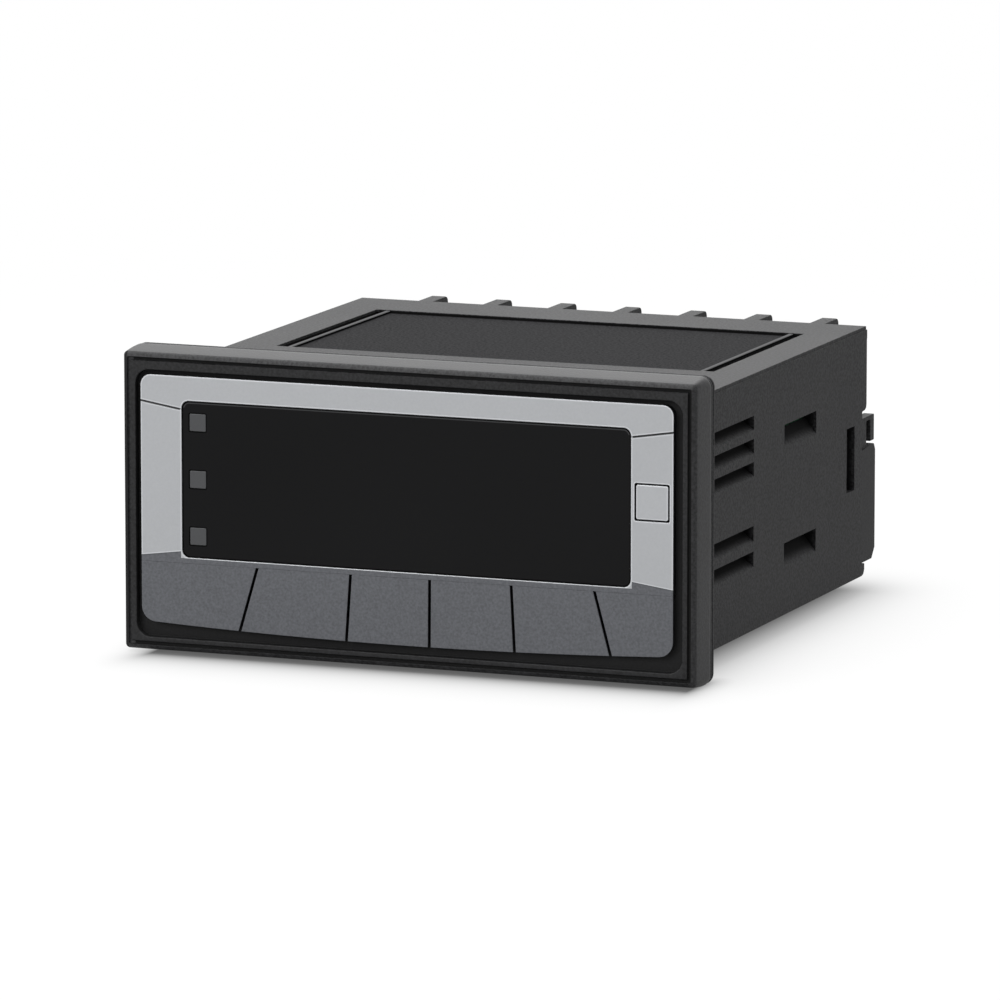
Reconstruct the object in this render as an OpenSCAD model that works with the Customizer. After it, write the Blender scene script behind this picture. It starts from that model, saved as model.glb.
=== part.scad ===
// Panel meter with a 1/8 DIN front. The origin is the centre of the panel cut-out, in the plane of
// the panel's front face. The front faces -Y, the case runs back along +Y, and +Z is up.

/* [Bezel] */
// Width of the bezel
bezel_w = 96; // [80:1:116]
// Height of the bezel
bezel_h = 48; // [46:1:60]
// Thickness of the bezel in front of its gasket
bezel_t = 5.4; // [4.8:0.1:7]
// Radius of the bezel's corners, seen from the front
bezel_corner_r = 1.8; // [1:0.1:3]
// How far the bezel's sides draw in towards the front
bezel_draft = 0.55; // [0.2:0.05:0.8]
// Width of the bevel round the bezel's front, seen from the front
bevel_w = 0.8; // [0.4:0.05:1]
// Depth of that bevel
bevel_d = 0.65; // [0.3:0.05:1]
// Width of the groove between the bevel and the lip
groove_w = 0.6; // [0.3:0.05:0.8]
// Depth of that groove
groove_d = 0.3; // [0.1:0.05:0.5]
// Border of the bezel at each side of its opening
side_border = 2.7; // [2:0.1:4]
// Border of the bezel above its opening
top_border = 3.2; // [2:0.1:4]
// Border of the bezel below its opening
bottom_border = 2.6; // [2:0.1:4]
// Radius of the opening's corners
opening_r = 2.3; // [1:0.1:4]
// Depth of the opening, down to the floor that carries the face panel
recess_depth = 1.25; // [1.1:0.05:1.6]
// Thickness of the bezel's floor
floor_t = 1.5; // [1.2:0.1:2]
// Wall of the skirt that plugs into the case
skirt_wall = 1.3; // [1:0.1:1.6]
// Length of the skirt behind the bezel
skirt_l = 5; // [4:0.1:5.8]

/* [Gasket and cut-out] */
// Thickness of the panel gasket
gasket_t = 1.7; // [1.2:0.1:2.2]
// How far the gasket stands in from the bezel's outline
gasket_inset = 0.05; // [0.05:0.05:0.3]
// Overlap of the bezel past each side of the cut-out
cutout_side = 2; // [1.5:0.1:3]
// Overlap of the bezel past the cut-out's top and bottom
cutout_edge = 1.5; // [1.2:0.1:3]
// Play between the case's shoulder and the cut-out
shoulder_play = 0.3; // [0.1:0.05:0.6]
// How far the shoulder reaches into the cut-out
shoulder_l = 3; // [1:0.1:4]

/* [Face panel] */
// Gap at each side of the face panel
panel_side_gap = 1.2; // [0.8:0.05:2]
// How far the face panel sits to one side of its opening
panel_shift = -0.3; // [-0.5:0.05:0.5]
// Gap above the face panel
panel_top_gap = 0.75; // [0.5:0.05:2]
// Gap below the middle of the face panel
panel_bottom_gap = 1.45; // [1:0.05:3]
// Radius of the long arc along the panel's lower edge
panel_arc_r = 850; // [400:10:2000]
// Radius of the panel's upper corners
panel_top_r = 1.7; // [0.8:0.1:3]
// Radius of the panel's lower corners
panel_bottom_r = 2.4; // [1:0.1:4]

/* [Window] */
// Silver band at each side of the window
window_side_band = 6.9; // [6.5:0.1:9]
// Silver band above the window
window_top_band = 3.85; // [2:0.05:6]
// Height from the panel's lowest point up to the window
window_foot = 11.5; // [10:0.1:14]
// Radius of the window's corners
window_r = 1.2; // [0.5:0.1:2]
// How far the lens lies below the panel's face
lens_sink = 0.15; // [0.05:0.05:0.4]
// Ledge of the bezel's floor that carries the lens
lens_ledge = 1; // [0.6:0.1:1.5]
// Clearance round the lens and the light guides
lens_clear = 0.08; // [0.04:0.01:0.15]
// Side of each square indicator
indicator_w = 2.8; // [2:0.1:4]
// Distance of the indicators' middle line from the window's side
indicator_in = 2.65; // [2:0.05:4]
// Distance of the highest indicator's middle from the window's top
indicator_down = 3.35; // [2.5:0.05:5]
// Spacing of the indicators
indicator_pitch = 8.95; // [4:0.05:9.5]

/* [Keys] */
// Width of the slots between the keys
slot_w = 0.45; // [0.3:0.05:0.8]
// Drop from the window to the line on which the keys bend
hinge_drop = 0.9; // [0.6:0.05:1.2]
// Clearance along that line
hinge_gap = 0.06; // [0.04:0.01:0.1]
// Thickness of a key's plate
key_plate_t = 0.7; // [0.5:0.05:0.8]
// Side of the post behind a key
key_post = 2; // [1.5:0.1:2.5]
// Drop from the bending line to the posts
post_drop = 5; // [4.5:0.1:5.5]
// Free travel between a post and its switch
key_play = 0.3; // [0.25:0.05:0.5]
// Width of the small square key
square_w = 5.2; // [4:0.05:5.5]
// Height of the small square key
square_h = 5.35; // [4:0.05:7]
// Gap round the square key
square_gap = 0.25; // [0.1:0.05:0.3]
// Distance of the square key's middle from the panel's right side
square_in = 3.45; // [3.3:0.05:4]
// Distance of the square key's middle below the window's top
square_down = 11.3; // [8:0.1:16]
// Side of a key switch
switch_w = 4.5; // [3.5:0.1:5]
// Height of a key switch above its board
switch_h = 4; // [3:0.1:4.5]

/* [Case] */
// Step from the bezel's side to the case's side
case_side_step = 4; // [3.5:0.1:5]
// Step from the bezel's top to the case's top
case_top_step = 4.2; // [3.5:0.1:6]
// Step from the bezel's bottom to the case's bottom
case_bottom_step = 3.2; // [2.5:0.1:5]
// Length of the case's side walls behind the panel
case_l = 80.5; // [66:0.1:96]
// Wall of the case
case_wall = 2; // [1.6:0.1:2.4]
// Radius of the case's long outer edges
case_edge_r = 0.25; // [0.2:0.05:1]
// Width of the rebate along the top of each side wall
rebate_w = 0.2; // [0.1:0.05:0.4]
// Height of that rebate
rebate_h = 0.55; // [0.3:0.05:1]
// How far the top wall reaches past the side walls
roof_l = 2.2; // [1:0.1:4]
// How far the bottom wall reaches past the side walls
sole_l = 1.5; // [0.5:0.1:3]

/* [Label recess] */
// Width of the recess in the case's top
label_w = 73.7; // [50:0.1:74]
// Sideways shift of the recess
label_shift = 0.35; // [0:0.05:1]
// Length of the recess
label_l = 42.4; // [30:0.1:44]
// Distance of the recess from the rear of the side walls
label_rear = 9.3; // [5:0.1:12]
// Depth of the recess
label_depth = 1; // [0.6:0.05:1.3]
// Width of the vent slot at each end of the label plate
label_slot = 1.7; // [0.8:0.05:2]
// Width of the plate's rail along each vent slot
label_rail = 0.75; // [0.4:0.05:1.5]
// Height of those rails
label_rail_h = 0.4; // [0.2:0.05:0.5]
// How far the rails lie below the case's top
label_sink = 0.08; // [0.02:0.02:0.2]

/* [Side openings] */
// Length of the side vents
vent_l = 21.7; // [15:0.1:24]
// Distance of the vents from the panel
vent_front = 7; // [5:0.1:10]
// Height of an upper vent
vent_h = 2.2; // [1.5:0.1:2.6]
// Height of a lower vent
low_vent_h = 2.4; // [1.5:0.1:2.8]
// Spacing of the upper vents
vent_pitch = 3.65; // [3:0.05:4]
// Spacing of the lower vents
low_vent_pitch = 4.05; // [3.2:0.05:4.5]
// Share of a vent's height that its sloped sill takes
sill_share = 0.7; // [0.4:0.05:0.8]
// Length of a clip pocket
pocket_l = 15; // [10:0.5:18]
// Height of a clip pocket
pocket_h = 3.65; // [3:0.05:3.9]
// Distance of the clip pockets from the panel
pocket_front = 43; // [32:0.5:44]
// Length of a latch slot along the case
latch_l = 3.8; // [3:0.1:3.9]
// Height of a latch slot
latch_h = 10.4; // [6:0.1:12]
// Distance of the latch slots from the rear of the side walls
latch_rear = 3.8; // [2.8:0.1:4.5]

/* [Terminals] */
// Number of barrier fins on the case's rear edge
fin_count = 7; // [5:1:7]
// Spacing of the barrier fins and of the screw terminals
fin_pitch = 11.33; // [9:0.01:11.5]
// Sideways shift of the row of fins
fin_shift = 1.4; // [0:0.05:2]
// Thickness of a fin
fin_t = 2.7; // [1.5:0.05:3]
// How far the fins reach past the top wall
fin_l = 6.9; // [4:0.1:9]
// Height of a fin
fin_h = 11.5; // [8:0.1:13]
// Thickness of the rear cover's plate
cover_t = 2.4; // [1.8:0.1:2.6]
// Clearance of plugged-in moulded parts
fit_clear = 0.15; // [0.1:0.01:0.25]
// Radius of a terminal screw's head
screw_head_r = 2.7; // [2:0.1:3]
// Radius of a terminal screw's shank
screw_r = 1.45; // [1.2:0.05:1.6]
// Height of the plug block
block_h = 19; // [15:0.1:19.2]
// How far the plug block reaches past the case's side walls
block_l = 7; // [5:0.1:8]
// Number of ways of the plug block
block_ways = 10; // [6:1:10]
// Spacing of the plug block's ways
block_pitch = 8.2; // [6:0.1:8.2]

/* [Hidden] */
$fn = 48;

// Planes across the meter
back_y = -gasket_t;
face_y = back_y - bezel_t;
floor_y = face_y + recess_depth;
floor_back_y = floor_y + floor_t;

// Opening of the bezel and the face panel in it
opening_w = bezel_w - 2 * side_border;
opening_top = bezel_h / 2 - top_border;
opening_bottom = -bezel_h / 2 + bottom_border;
panel_w = opening_w - 2 * panel_side_gap;
panel_top = opening_top - panel_top_gap;
panel_bottom = opening_bottom + panel_bottom_gap;
arc_z = panel_bottom + panel_arc_r;
low_corner_x = panel_w / 2 - panel_bottom_r;
low_corner_z = arc_z - sqrt(pow(panel_arc_r - panel_bottom_r, 2) - pow(low_corner_x, 2));

// Window and indicators
window_w = panel_w - 2 * window_side_band;
window_top = panel_top - window_top_band;
window_bottom = panel_bottom + window_foot;
window_h = window_top - window_bottom;
window_z = (window_top + window_bottom) / 2;
indicator_x = panel_shift - window_w / 2 + indicator_in;
function indicator_z(i) = window_top - indicator_down - (i - 1) * indicator_pitch;

// Slots between the keys: places of their tops and feet, as parts of the panel's half width
slot_tops = [-0.557, -0.203, 0.095, 0.4, 0.709];
slot_feet = [-0.634, -0.221, 0.093, 0.414, 0.78];
hinge_z = window_bottom - hinge_drop;
post_z = hinge_z - post_drop;
foot_z = panel_bottom - 1;
function slot_x(places, i) = panel_shift + places[i] * panel_w / 2;
function left_x(places, i) = i == 0 ? -panel_w : slot_x(places, i - 1) + slot_w / 2;
function right_x(places, i) = i == 5 ? panel_w : slot_x(places, i) - slot_w / 2;
// Middle of each key at the height of its post
post_share = post_drop / (hinge_z - foot_z);
function edge_x(i) = i < 0 ? panel_shift - panel_w / 2 : i > 4 ? panel_shift + panel_w / 2
    : slot_x(slot_tops, i) * (1 - post_share) + slot_x(slot_feet, i) * post_share;
function key_x(i) = (edge_x(i - 1) + edge_x(i)) / 2;
square_x = panel_shift + panel_w / 2 - square_in;
square_z = window_top - square_down;
square_flange = 0.5;
square_post_x = square_x - 1.2;

// Cut-out, shoulder and case
cutout_w = bezel_w - 2 * cutout_side;
cutout_h = bezel_h - 2 * cutout_edge;
shoulder_w = cutout_w - 2 * shoulder_play;
shoulder_h = cutout_h - 2 * shoulder_play;
case_w = bezel_w - 2 * case_side_step;
case_top = bezel_h / 2 - case_top_step;
case_bottom = -bezel_h / 2 + case_bottom_step;
case_h = case_top - case_bottom;
case_z = (case_top + case_bottom) / 2;
inner_w = case_w - 2 * case_wall;
inner_h = case_h - 2 * case_wall;
inner_top = case_top - case_wall;
inner_bottom = case_bottom + case_wall;

// Rear of the side walls: a full-length upper part, a notch for the cover's hooks and the block
notch_top = case_top - 13.55;
block_bottom = case_bottom + case_wall + 0.1;
block_top = block_bottom + block_h;

// Boards
board_t = 1.6;
board_y = back_y + skirt_l + 1.3;
board_back_y = board_y + board_t;
switch_y = board_y - switch_h;
main_z = inner_bottom + 2.2;
power_z = main_z + board_t + 19.4;
cover_y = case_l - 0.4 - cover_t;
digit_pitch = (window_w - indicator_in - indicator_w - 4) / 5;
digit_w = digit_pitch - 0.3;
digit_h = window_h - 5.6;
digit_x = panel_shift + (indicator_in + indicator_w) / 2 - 1;
power_front_y = case_l - 50;
terminal_z = case_top - fin_h / 2 - 1.2;
function fin_x(i) = fin_shift + (i - (fin_count - 1) / 2) * fin_pitch;
function way_x(i) = (i - (block_ways - 1) / 2) * block_pitch;
function terminal_x(i) = fin_x(i) - fin_pitch / 2;

module rounded_rect(w, h, r) {
    square([w - 2 * r, h], center = true);
    square([w, h - 2 * r], center = true);
    for (sx = [-1, 1], sy = [-1, 1])
        translate([sx * (w / 2 - r), sy * (h / 2 - r)]) circle(r);
}

// Extrudes a front view, drawn in X and Z, from one depth to another
module slab(y0, y1) {
    translate([0, y1, 0]) rotate([90, 0, 0]) linear_extrude(y1 - y0) children();
}

module box(x0, x1, y0, y1, z0, z1) {
    translate([x0, y0, z0]) cube([x1 - x0, y1 - y0, z1 - z0]);
}

// Both sides of the case, mirrored on the middle plane
module both_sides() {
    children();
    mirror([1, 0, 0]) children();
}

// Plan of a block whose sides draw in towards a bevelled front
module front_tapered(w) {
    bevel_y = face_y + bevel_d;
    lip = w / 2 - bezel_draft - bevel_w;
    polygon([
        [-w / 2, back_y], [-w / 2, back_y - 0.2], [-w / 2 + bezel_draft, bevel_y], [-lip, face_y],
        [lip, face_y], [w / 2 - bezel_draft, bevel_y], [w / 2, back_y - 0.2], [w / 2, back_y]
    ]);
}

module panel_outline() translate([panel_shift, 0]) {
    intersection() {
        translate([0, arc_z]) circle(panel_arc_r, $fn = 1440);
        translate([-low_corner_x, panel_bottom - 1])
            square([2 * low_corner_x, low_corner_z - panel_bottom + 1.01]);
    }
    translate([-panel_w / 2, low_corner_z])
        square([panel_w, panel_top - panel_top_r - low_corner_z]);
    translate([-panel_w / 2 + panel_top_r, low_corner_z])
        square([panel_w - 2 * panel_top_r, panel_top - low_corner_z]);
    for (s = [-1, 1]) {
        translate([s * low_corner_x, low_corner_z]) circle(panel_bottom_r);
        translate([s * (panel_w / 2 - panel_top_r), panel_top - panel_top_r]) circle(panel_top_r);
    }
}

module key_region(i) {
    z = hinge_z - hinge_gap / 2;
    polygon([
        [left_x(slot_tops, i), z],
        [right_x(slot_tops, i), z],
        [right_x(slot_feet, i), foot_z],
        [left_x(slot_feet, i), foot_z]
    ]);
}

// Hole for the square key, through the panel and the bezel's floor
module square_hole() {
    translate([square_x, square_z])
        square([square_w + 2 * square_gap, square_h + 2 * square_gap], center = true);
}

module bezel_frame() color([0.13, 0.13, 0.135]) {
    floor_play = 1.1;
    square_room = square_gap + square_flange + 0.3;
    switch_room = 0.4;
    groove_in = bezel_draft + bevel_w;
    difference() {
        union() {
            intersection() {
                slab(face_y, back_y) rounded_rect(bezel_w, bezel_h, bezel_corner_r);
                linear_extrude(2 * bezel_h, center = true) front_tapered(bezel_w);
                rotate([0, 90, 0]) linear_extrude(2 * bezel_w, center = true)
                    front_tapered(bezel_h);
            }
            slab(back_y - 0.5, back_y + skirt_l) translate([0, case_z])
                rounded_rect(inner_w - 2 * fit_clear, inner_h - 2 * fit_clear, 1);
        }
        slab(face_y - 1, floor_y) translate([0, (opening_top + opening_bottom) / 2])
            rounded_rect(opening_w, opening_top - opening_bottom, opening_r);
        slab(face_y - 1, face_y + groove_d) difference() {
            square([bezel_w - 2 * groove_in, bezel_h - 2 * groove_in], center = true);
            square([bezel_w - 2 * groove_in - 2 * groove_w, bezel_h - 2 * groove_in - 2 * groove_w],
                center = true);
        }
        slab(floor_back_y, back_y + skirt_l + 1) translate([0, case_z])
            rounded_rect(
                inner_w - 2 * fit_clear - 2 * skirt_wall,
                inner_h - 2 * fit_clear - 2 * skirt_wall, 0.5);
        slab(floor_y - 1, floor_back_y + 1) {
            translate([panel_shift, window_z])
                square([window_w - 2 * lens_ledge, window_h - 2 * lens_ledge], center = true);
            square_hole();
            translate([panel_shift - panel_w / 2 + 2, post_z - key_post / 2 - floor_play])
                square([panel_w - 4, key_post + 2 * floor_play]);
        }
        slab(floor_back_y, back_y + 0.01) translate([square_x, square_z])
            square([square_w + 2 * square_room, square_h + 2 * square_room], center = true);
        slab(floor_back_y, back_y + skirt_l + 1) {
            translate([square_post_x, square_z])
                square([inner_w - 2 * square_post_x, switch_w + 2 * switch_room], center = true);
            for (i = [0, 5]) translate([key_x(i), post_z]) square(switch_w + 0.2, center = true);
        }
    }
}

module panel_gasket() color([0.16, 0.16, 0.165]) {
    difference() {
        slab(back_y, 0)
            rounded_rect(bezel_w - 2 * gasket_inset, bezel_h - 2 * gasket_inset, bezel_corner_r);
        slab(back_y - 1, 1)
            square([shoulder_w + 2 * fit_clear, shoulder_h + 2 * fit_clear], center = true);
    }
}

module face_panel() color([0.70, 0.71, 0.72]) {
    slab(face_y, floor_y) difference() {
        intersection() {
            panel_outline();
            translate([-panel_w, hinge_z + hinge_gap / 2]) square([2 * panel_w, bezel_h]);
        }
        translate([panel_shift, window_z]) rounded_rect(window_w, window_h, window_r);
        square_hole();
    }
}

module key(n) color([0.36, 0.37, 0.38]) {
    i = n - 1;
    slab(face_y, face_y + key_plate_t) intersection() {
        panel_outline();
        key_region(i);
    }
    slab(face_y + key_plate_t - 0.1, switch_y - key_play) translate([key_x(i), post_z])
        square(key_post, center = true);
}

module square_key() color([0.72, 0.73, 0.74]) {
    flange_t = 0.7;
    slab(face_y, floor_back_y + 0.1) translate([square_x, square_z])
        square([square_w, square_h], center = true);
    slab(floor_back_y + 0.05, floor_back_y + 0.05 + flange_t) translate([square_x, square_z])
        square([square_w + 2 * square_gap + 2 * square_flange,
            square_h + 2 * square_gap + 2 * square_flange], center = true);
    slab(floor_back_y + flange_t, switch_y - key_play) translate([square_post_x, square_z])
        square(key_post, center = true);
}

module window_lens() color([0.05, 0.05, 0.055]) {
    slab(face_y + lens_sink, floor_y) difference() {
        translate([panel_shift, window_z])
            rounded_rect(window_w - 2 * lens_clear, window_h - 2 * lens_clear, window_r);
        for (i = [1 : 3]) translate([indicator_x, indicator_z(i)])
            square(indicator_w + 2 * lens_clear, center = true);
    }
}

module light_guide(n) color([0.34, 0.34, 0.36]) {
    shaft = indicator_w - 0.7;
    slab(face_y + lens_sink, floor_y) translate([indicator_x, indicator_z(n)])
        square(indicator_w, center = true);
    slab(floor_y - 0.1, board_y - 1) translate([indicator_x, indicator_z(n)])
        square(shaft, center = true);
}

// Louvred slot through a side wall: its sill slopes up towards the inside
module louvre(y, z, l, h, share) {
    outside = case_w / 2 + 0.5;
    inside = inner_w / 2 - 0.5;
    rise = h * share;
    translate([0, y + l, 0]) rotate([90, 0, 0]) linear_extrude(l)
        polygon([
            [outside, z - h / 2 - 0.5 * rise / case_wall],
            [outside, z + h / 2],
            [inside, z + h / 2],
            [inside, z - h / 2 + rise],
            [inner_w / 2, z - h / 2 + rise]
        ]);
}

module side_openings() {
    for (i = [0 : 2])
        louvre(vent_front, case_top - 7.7 - i * vent_pitch, vent_l, vent_h, sill_share);
    for (i = [0 : 1])
        louvre(vent_front, case_bottom + 15.4 - i * low_vent_pitch, vent_l, low_vent_h, sill_share);
    louvre(pocket_front, case_top - 12, pocket_l, pocket_h, sill_share);
    louvre(pocket_front, case_bottom + 9.7, pocket_l, pocket_h, sill_share);
    latch_z = case_z - 0.3;
    box(inner_w / 2 - 1, case_w / 2 + 1, case_l - latch_rear - latch_l, case_l - latch_rear,
        latch_z - latch_h / 2, latch_z + latch_h / 2);
}

// Side view of the case's rear, drawn in Y and Z: the upper part reaches back as far as the roof
module rear_profile() {
    roof_y = case_l + roof_l;
    sole_y = case_l + sole_l;
    polygon([
        [back_y, case_bottom],
        [sole_y - 1.3, case_bottom],
        [sole_y - 0.4, case_bottom + 0.35],
        [sole_y, case_bottom + 1],
        [sole_y, case_bottom + case_wall],
        [case_l, case_bottom + case_wall],
        [case_l, notch_top - 0.1],
        [roof_y - 0.9, notch_top],
        [roof_y - 0.3, notch_top + 0.3],
        [roof_y - 0.1, notch_top + 0.9],
        [roof_y - 0.1, case_top - case_wall],
        [roof_y, case_top - case_wall],
        [roof_y, case_top],
        [back_y, case_top]
    ]);
}

module case_shell() color([0.15, 0.15, 0.155]) {
    roof_y = case_l + roof_l;
    recess_y = case_l - label_rear - label_l;
    difference() {
        union() {
            intersection() {
                slab(back_y, roof_y + 1) translate([0, case_z])
                    rounded_rect(case_w, case_h, case_edge_r);
                rotate([90, 0, 90]) linear_extrude(2 * case_w, center = true) rear_profile();
            }
            slab(back_y, shoulder_l) rounded_rect(shoulder_w, shoulder_h, 1);
            for (i = [0 : fin_count - 1])
                rotate([90, 0, 90]) translate([0, 0, fin_x(i) - fin_t / 2]) linear_extrude(fin_t)
                    polygon([
                        [roof_y - 2, case_top - 0.5],
                        [roof_y - 2, case_top - fin_h],
                        [roof_y + fin_l - 2, case_top - fin_h],
                        [roof_y + fin_l, case_top - fin_h + 2],
                        [roof_y + fin_l, case_top - 0.9],
                        [roof_y + fin_l - 0.25, case_top - 0.28],
                        [roof_y + fin_l - 0.85, case_top],
                        [roof_y - 1, case_top]
                    ]);
        }
        slab(back_y - 1, roof_y - 2) translate([0, case_z]) square([inner_w, inner_h], center = true);
        difference() {
            slab(roof_y - 2.5, roof_y + 2) translate([0, case_z])
                square([inner_w, inner_h], center = true);
            for (i = [0 : fin_count - 1])
                box(fin_x(i) - fin_t / 2, fin_x(i) + fin_t / 2, roof_y - 2, roof_y + 3,
                    case_top - fin_h, case_top);
        }
        translate([label_shift, 0, 0]) {
            box(-label_w / 2, label_w / 2, recess_y, recess_y + label_l,
                case_top - label_depth, case_top + 1);
            both_sides() box(label_w / 2 - label_slot, label_w / 2,
                recess_y + 1, recess_y + label_l - 0.4, inner_top - 1, case_top);
        }
        both_sides() {
            box(case_w / 2 - rebate_w, case_w, shoulder_l + 0.1, roof_y + 1,
                case_top - rebate_h, case_top + 1);
            side_openings();
        }
    }
}

module top_label_plate() color([0.10, 0.10, 0.105]) {
    recess_y = case_l - label_rear - label_l;
    half = label_w / 2 - label_slot;
    field_z = case_top - label_sink - label_rail_h;
    translate([label_shift, 0, 0]) {
        box(-half, half, recess_y, recess_y + label_l - 0.3, case_top - label_depth, field_z);
        both_sides() box(half - label_rail, half, recess_y, recess_y + label_l - 0.3,
            field_z - 0.1, case_top - label_sink);
    }
}

module display_board() color([0.07, 0.30, 0.16]) {
    slab(board_y, board_back_y) translate([0, case_z])
        square([inner_w - 4 * fit_clear, inner_h - 4 * fit_clear], center = true);
}

// One seven-segment module, with its pins reaching the board
module digit(n) color([0.20, 0.20, 0.21]) {
    x = digit_x + (n - 3) * digit_pitch;
    difference() {
        slab(floor_back_y + 0.6, board_y) translate([x, window_z])
            square([digit_w, digit_h], center = true);
        slab(floor_back_y, floor_back_y + 0.8) translate([x, window_z]) {
            for (side = [-1, 1], level = [-1, 1])
                translate([side * digit_w * 0.26, level * digit_h * 0.19])
                    square([1.2, digit_h * 0.28], center = true);
            for (level = [-1, 0, 1])
                translate([0, level * digit_h * 0.38]) square([digit_w * 0.36, 1.2], center = true);
        }
    }
}

// Sealed dome switch: square body and round contact face
module key_switch(n) color([0.10, 0.10, 0.11]) {
    x = n < 7 ? key_x(n - 1) : square_post_x;
    z = n < 7 ? post_z : square_z;
    slab(switch_y + 0.6, board_y) translate([x, z]) square(switch_w, center = true);
    slab(switch_y, switch_y + 0.7) translate([x, z]) circle(1.4);
}

module indicator_leds() color([0.85, 0.82, 0.70]) {
    for (i = [1 : 3]) slab(board_y - 0.8, board_y) translate([indicator_x, indicator_z(i)])
        square([2, 1.25], center = true);
}

module main_board() color([0.07, 0.30, 0.16]) {
    box(-inner_w / 2 + 1.5, inner_w / 2 - 1.5, board_back_y + 0.6, cover_y - 1,
        main_z, main_z + board_t);
}

module power_board() color([0.07, 0.30, 0.16]) {
    box(-inner_w / 2 + 1.5, inner_w / 2 - 1.5, power_front_y, cover_y - 1.3,
        power_z, power_z + board_t);
}

// Pin header that joins the display board to the main board
module board_link() color([0.12, 0.12, 0.13]) {
    box(-14, 14, board_back_y, board_back_y + 5, main_z + board_t, main_z + board_t + 6.5);
}

module processor() color([0.09, 0.09, 0.10]) {
    box(-24, -12, board_back_y + 12, board_back_y + 24, main_z + board_t, main_z + board_t + 1.5);
}

module transformer() color([0.55, 0.42, 0.20]) {
    z = main_z + board_t;
    box(8, 36, cover_y - 32, cover_y - 8, z + 2, z + 16);
    box(13, 31, cover_y - 29, cover_y - 11, z, z + 18.6);
}

module relay(n) color([0.12, 0.20, 0.35]) {
    box(-36 + (n - 1) * 13, -25.5 + (n - 1) * 13, cover_y - 30, cover_y - 9.5,
        main_z + board_t, main_z + board_t + 15.2);
}

module capacitor(n) color([0.10, 0.12, 0.30]) {
    translate([4 + (n - 1) * 15, board_back_y + 16, main_z + board_t]) cylinder(h = 14, r = 5);
}

module fuse() color([0.80, 0.80, 0.82]) {
    y = power_front_y + 6;
    z = power_z + board_t + 2.9;
    translate([-32, y, z]) rotate([0, 90, 0]) cylinder(h = 5, r = 2.9);
    translate([-27.1, y, z]) rotate([0, 90, 0]) cylinder(h = 10.2, r = 2.5);
    translate([-17, y, z]) rotate([0, 90, 0]) cylinder(h = 5, r = 2.9);
}

// Inverted U that stands in the notch of a side wall
module cover_hook() {
    outer = case_w / 2 - fit_clear;
    top = notch_top - 1.3;
    foot = block_top + 0.4;
    box(outer - 4.3, outer, case_l + 0.1, case_l + 2.5, block_top + 0.1, top);
    box(outer - 4.3, inner_w / 2 - 0.2, cover_y + cover_t - 0.5, case_l + 0.2, block_top + 0.1, top);
    box(outer - 1.8, outer, case_l + 2, case_l + 6.3, top - 0.7, top);
    box(outer - 1.8, outer, case_l + 4.4, case_l + 6.3, foot, top);
}

// Tongue that reaches forward inside the case, with the nib that clicks into the latch slot
module cover_tongue() {
    x = inner_w / 2 - fit_clear;
    y0 = case_l - latch_rear - latch_l;
    box(x - 1.4, x, y0 - 2, cover_y + 0.5, case_z - 4, case_z + 3.6);
    box(x - 0.5, x + 1.1, y0 + 0.3, y0 + latch_l - 0.3, case_z - 3.6, case_z + 3.2);
}

module rear_cover() color([0.14, 0.14, 0.145]) {
    difference() {
        union() {
            slab(cover_y, cover_y + cover_t) translate([0, case_z])
                square([inner_w - 2 * fit_clear, inner_h - 2 * fit_clear], center = true);
            both_sides() {
                cover_hook();
                cover_tongue();
            }
        }
        for (i = [0 : fin_count - 1]) translate([terminal_x(i), cover_y - 1, terminal_z])
            rotate([-90, 0, 0]) cylinder(h = cover_t + 2, r = screw_r + 0.15);
        for (i = [0 : block_ways - 1])
            box(way_x(i) - 0.9, way_x(i) + 0.9, cover_y - 1, case_l + 1,
                block_bottom + 8, block_bottom + 9.8);
    }
}

// Brass angle behind each screw: a threaded leaf and a foot on the power board
module terminal_contacts() color([0.78, 0.62, 0.30]) {
    top = power_z + board_t;
    for (i = [0 : fin_count - 1]) difference() {
        union() {
            box(terminal_x(i) - 2.6, terminal_x(i) + 2.6, cover_y - 1.1, cover_y, top, terminal_z + 2.8);
            box(terminal_x(i) - 1.5, terminal_x(i) + 1.5, cover_y - 5, cover_y - 1, top, top + 0.8);
        }
        translate([terminal_x(i), cover_y - 2, terminal_z])
            rotate([-90, 0, 0]) cylinder(h = 3, r = screw_r);
    }
}

module terminal_clamps() color([0.75, 0.76, 0.78]) {
    to_fin = (fin_pitch - fin_t) / 2;
    to_wall = inner_w / 2 + terminal_x(0);
    half = min(to_fin - 1.1, to_wall - 0.25);
    y = cover_y + cover_t;
    for (i = [0 : fin_count - 1]) difference() {
        box(terminal_x(i) - half, terminal_x(i) + half, y, y + 0.9,
            terminal_z - 3.2, terminal_z + 3.2);
        translate([terminal_x(i), y - 1, terminal_z])
            rotate([-90, 0, 0]) cylinder(h = 3, r = screw_r + 0.1);
    }
}

module terminal_screws() color([0.80, 0.81, 0.83]) {
    y = cover_y + cover_t + 0.9;
    for (i = [0 : fin_count - 1]) translate([terminal_x(i), y, terminal_z]) difference() {
        union() {
            rotate([-90, 0, 0]) cylinder(h = 2, r = screw_head_r);
            rotate([90, 0, 0]) cylinder(h = cover_t + 3, r = screw_r);
        }
        box(-screw_head_r - 1, screw_head_r + 1, 1.1, 3, -0.4, 0.4);
        box(-0.4, 0.4, 1.1, 3, -1.7, 1.7);
    }
}

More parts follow.
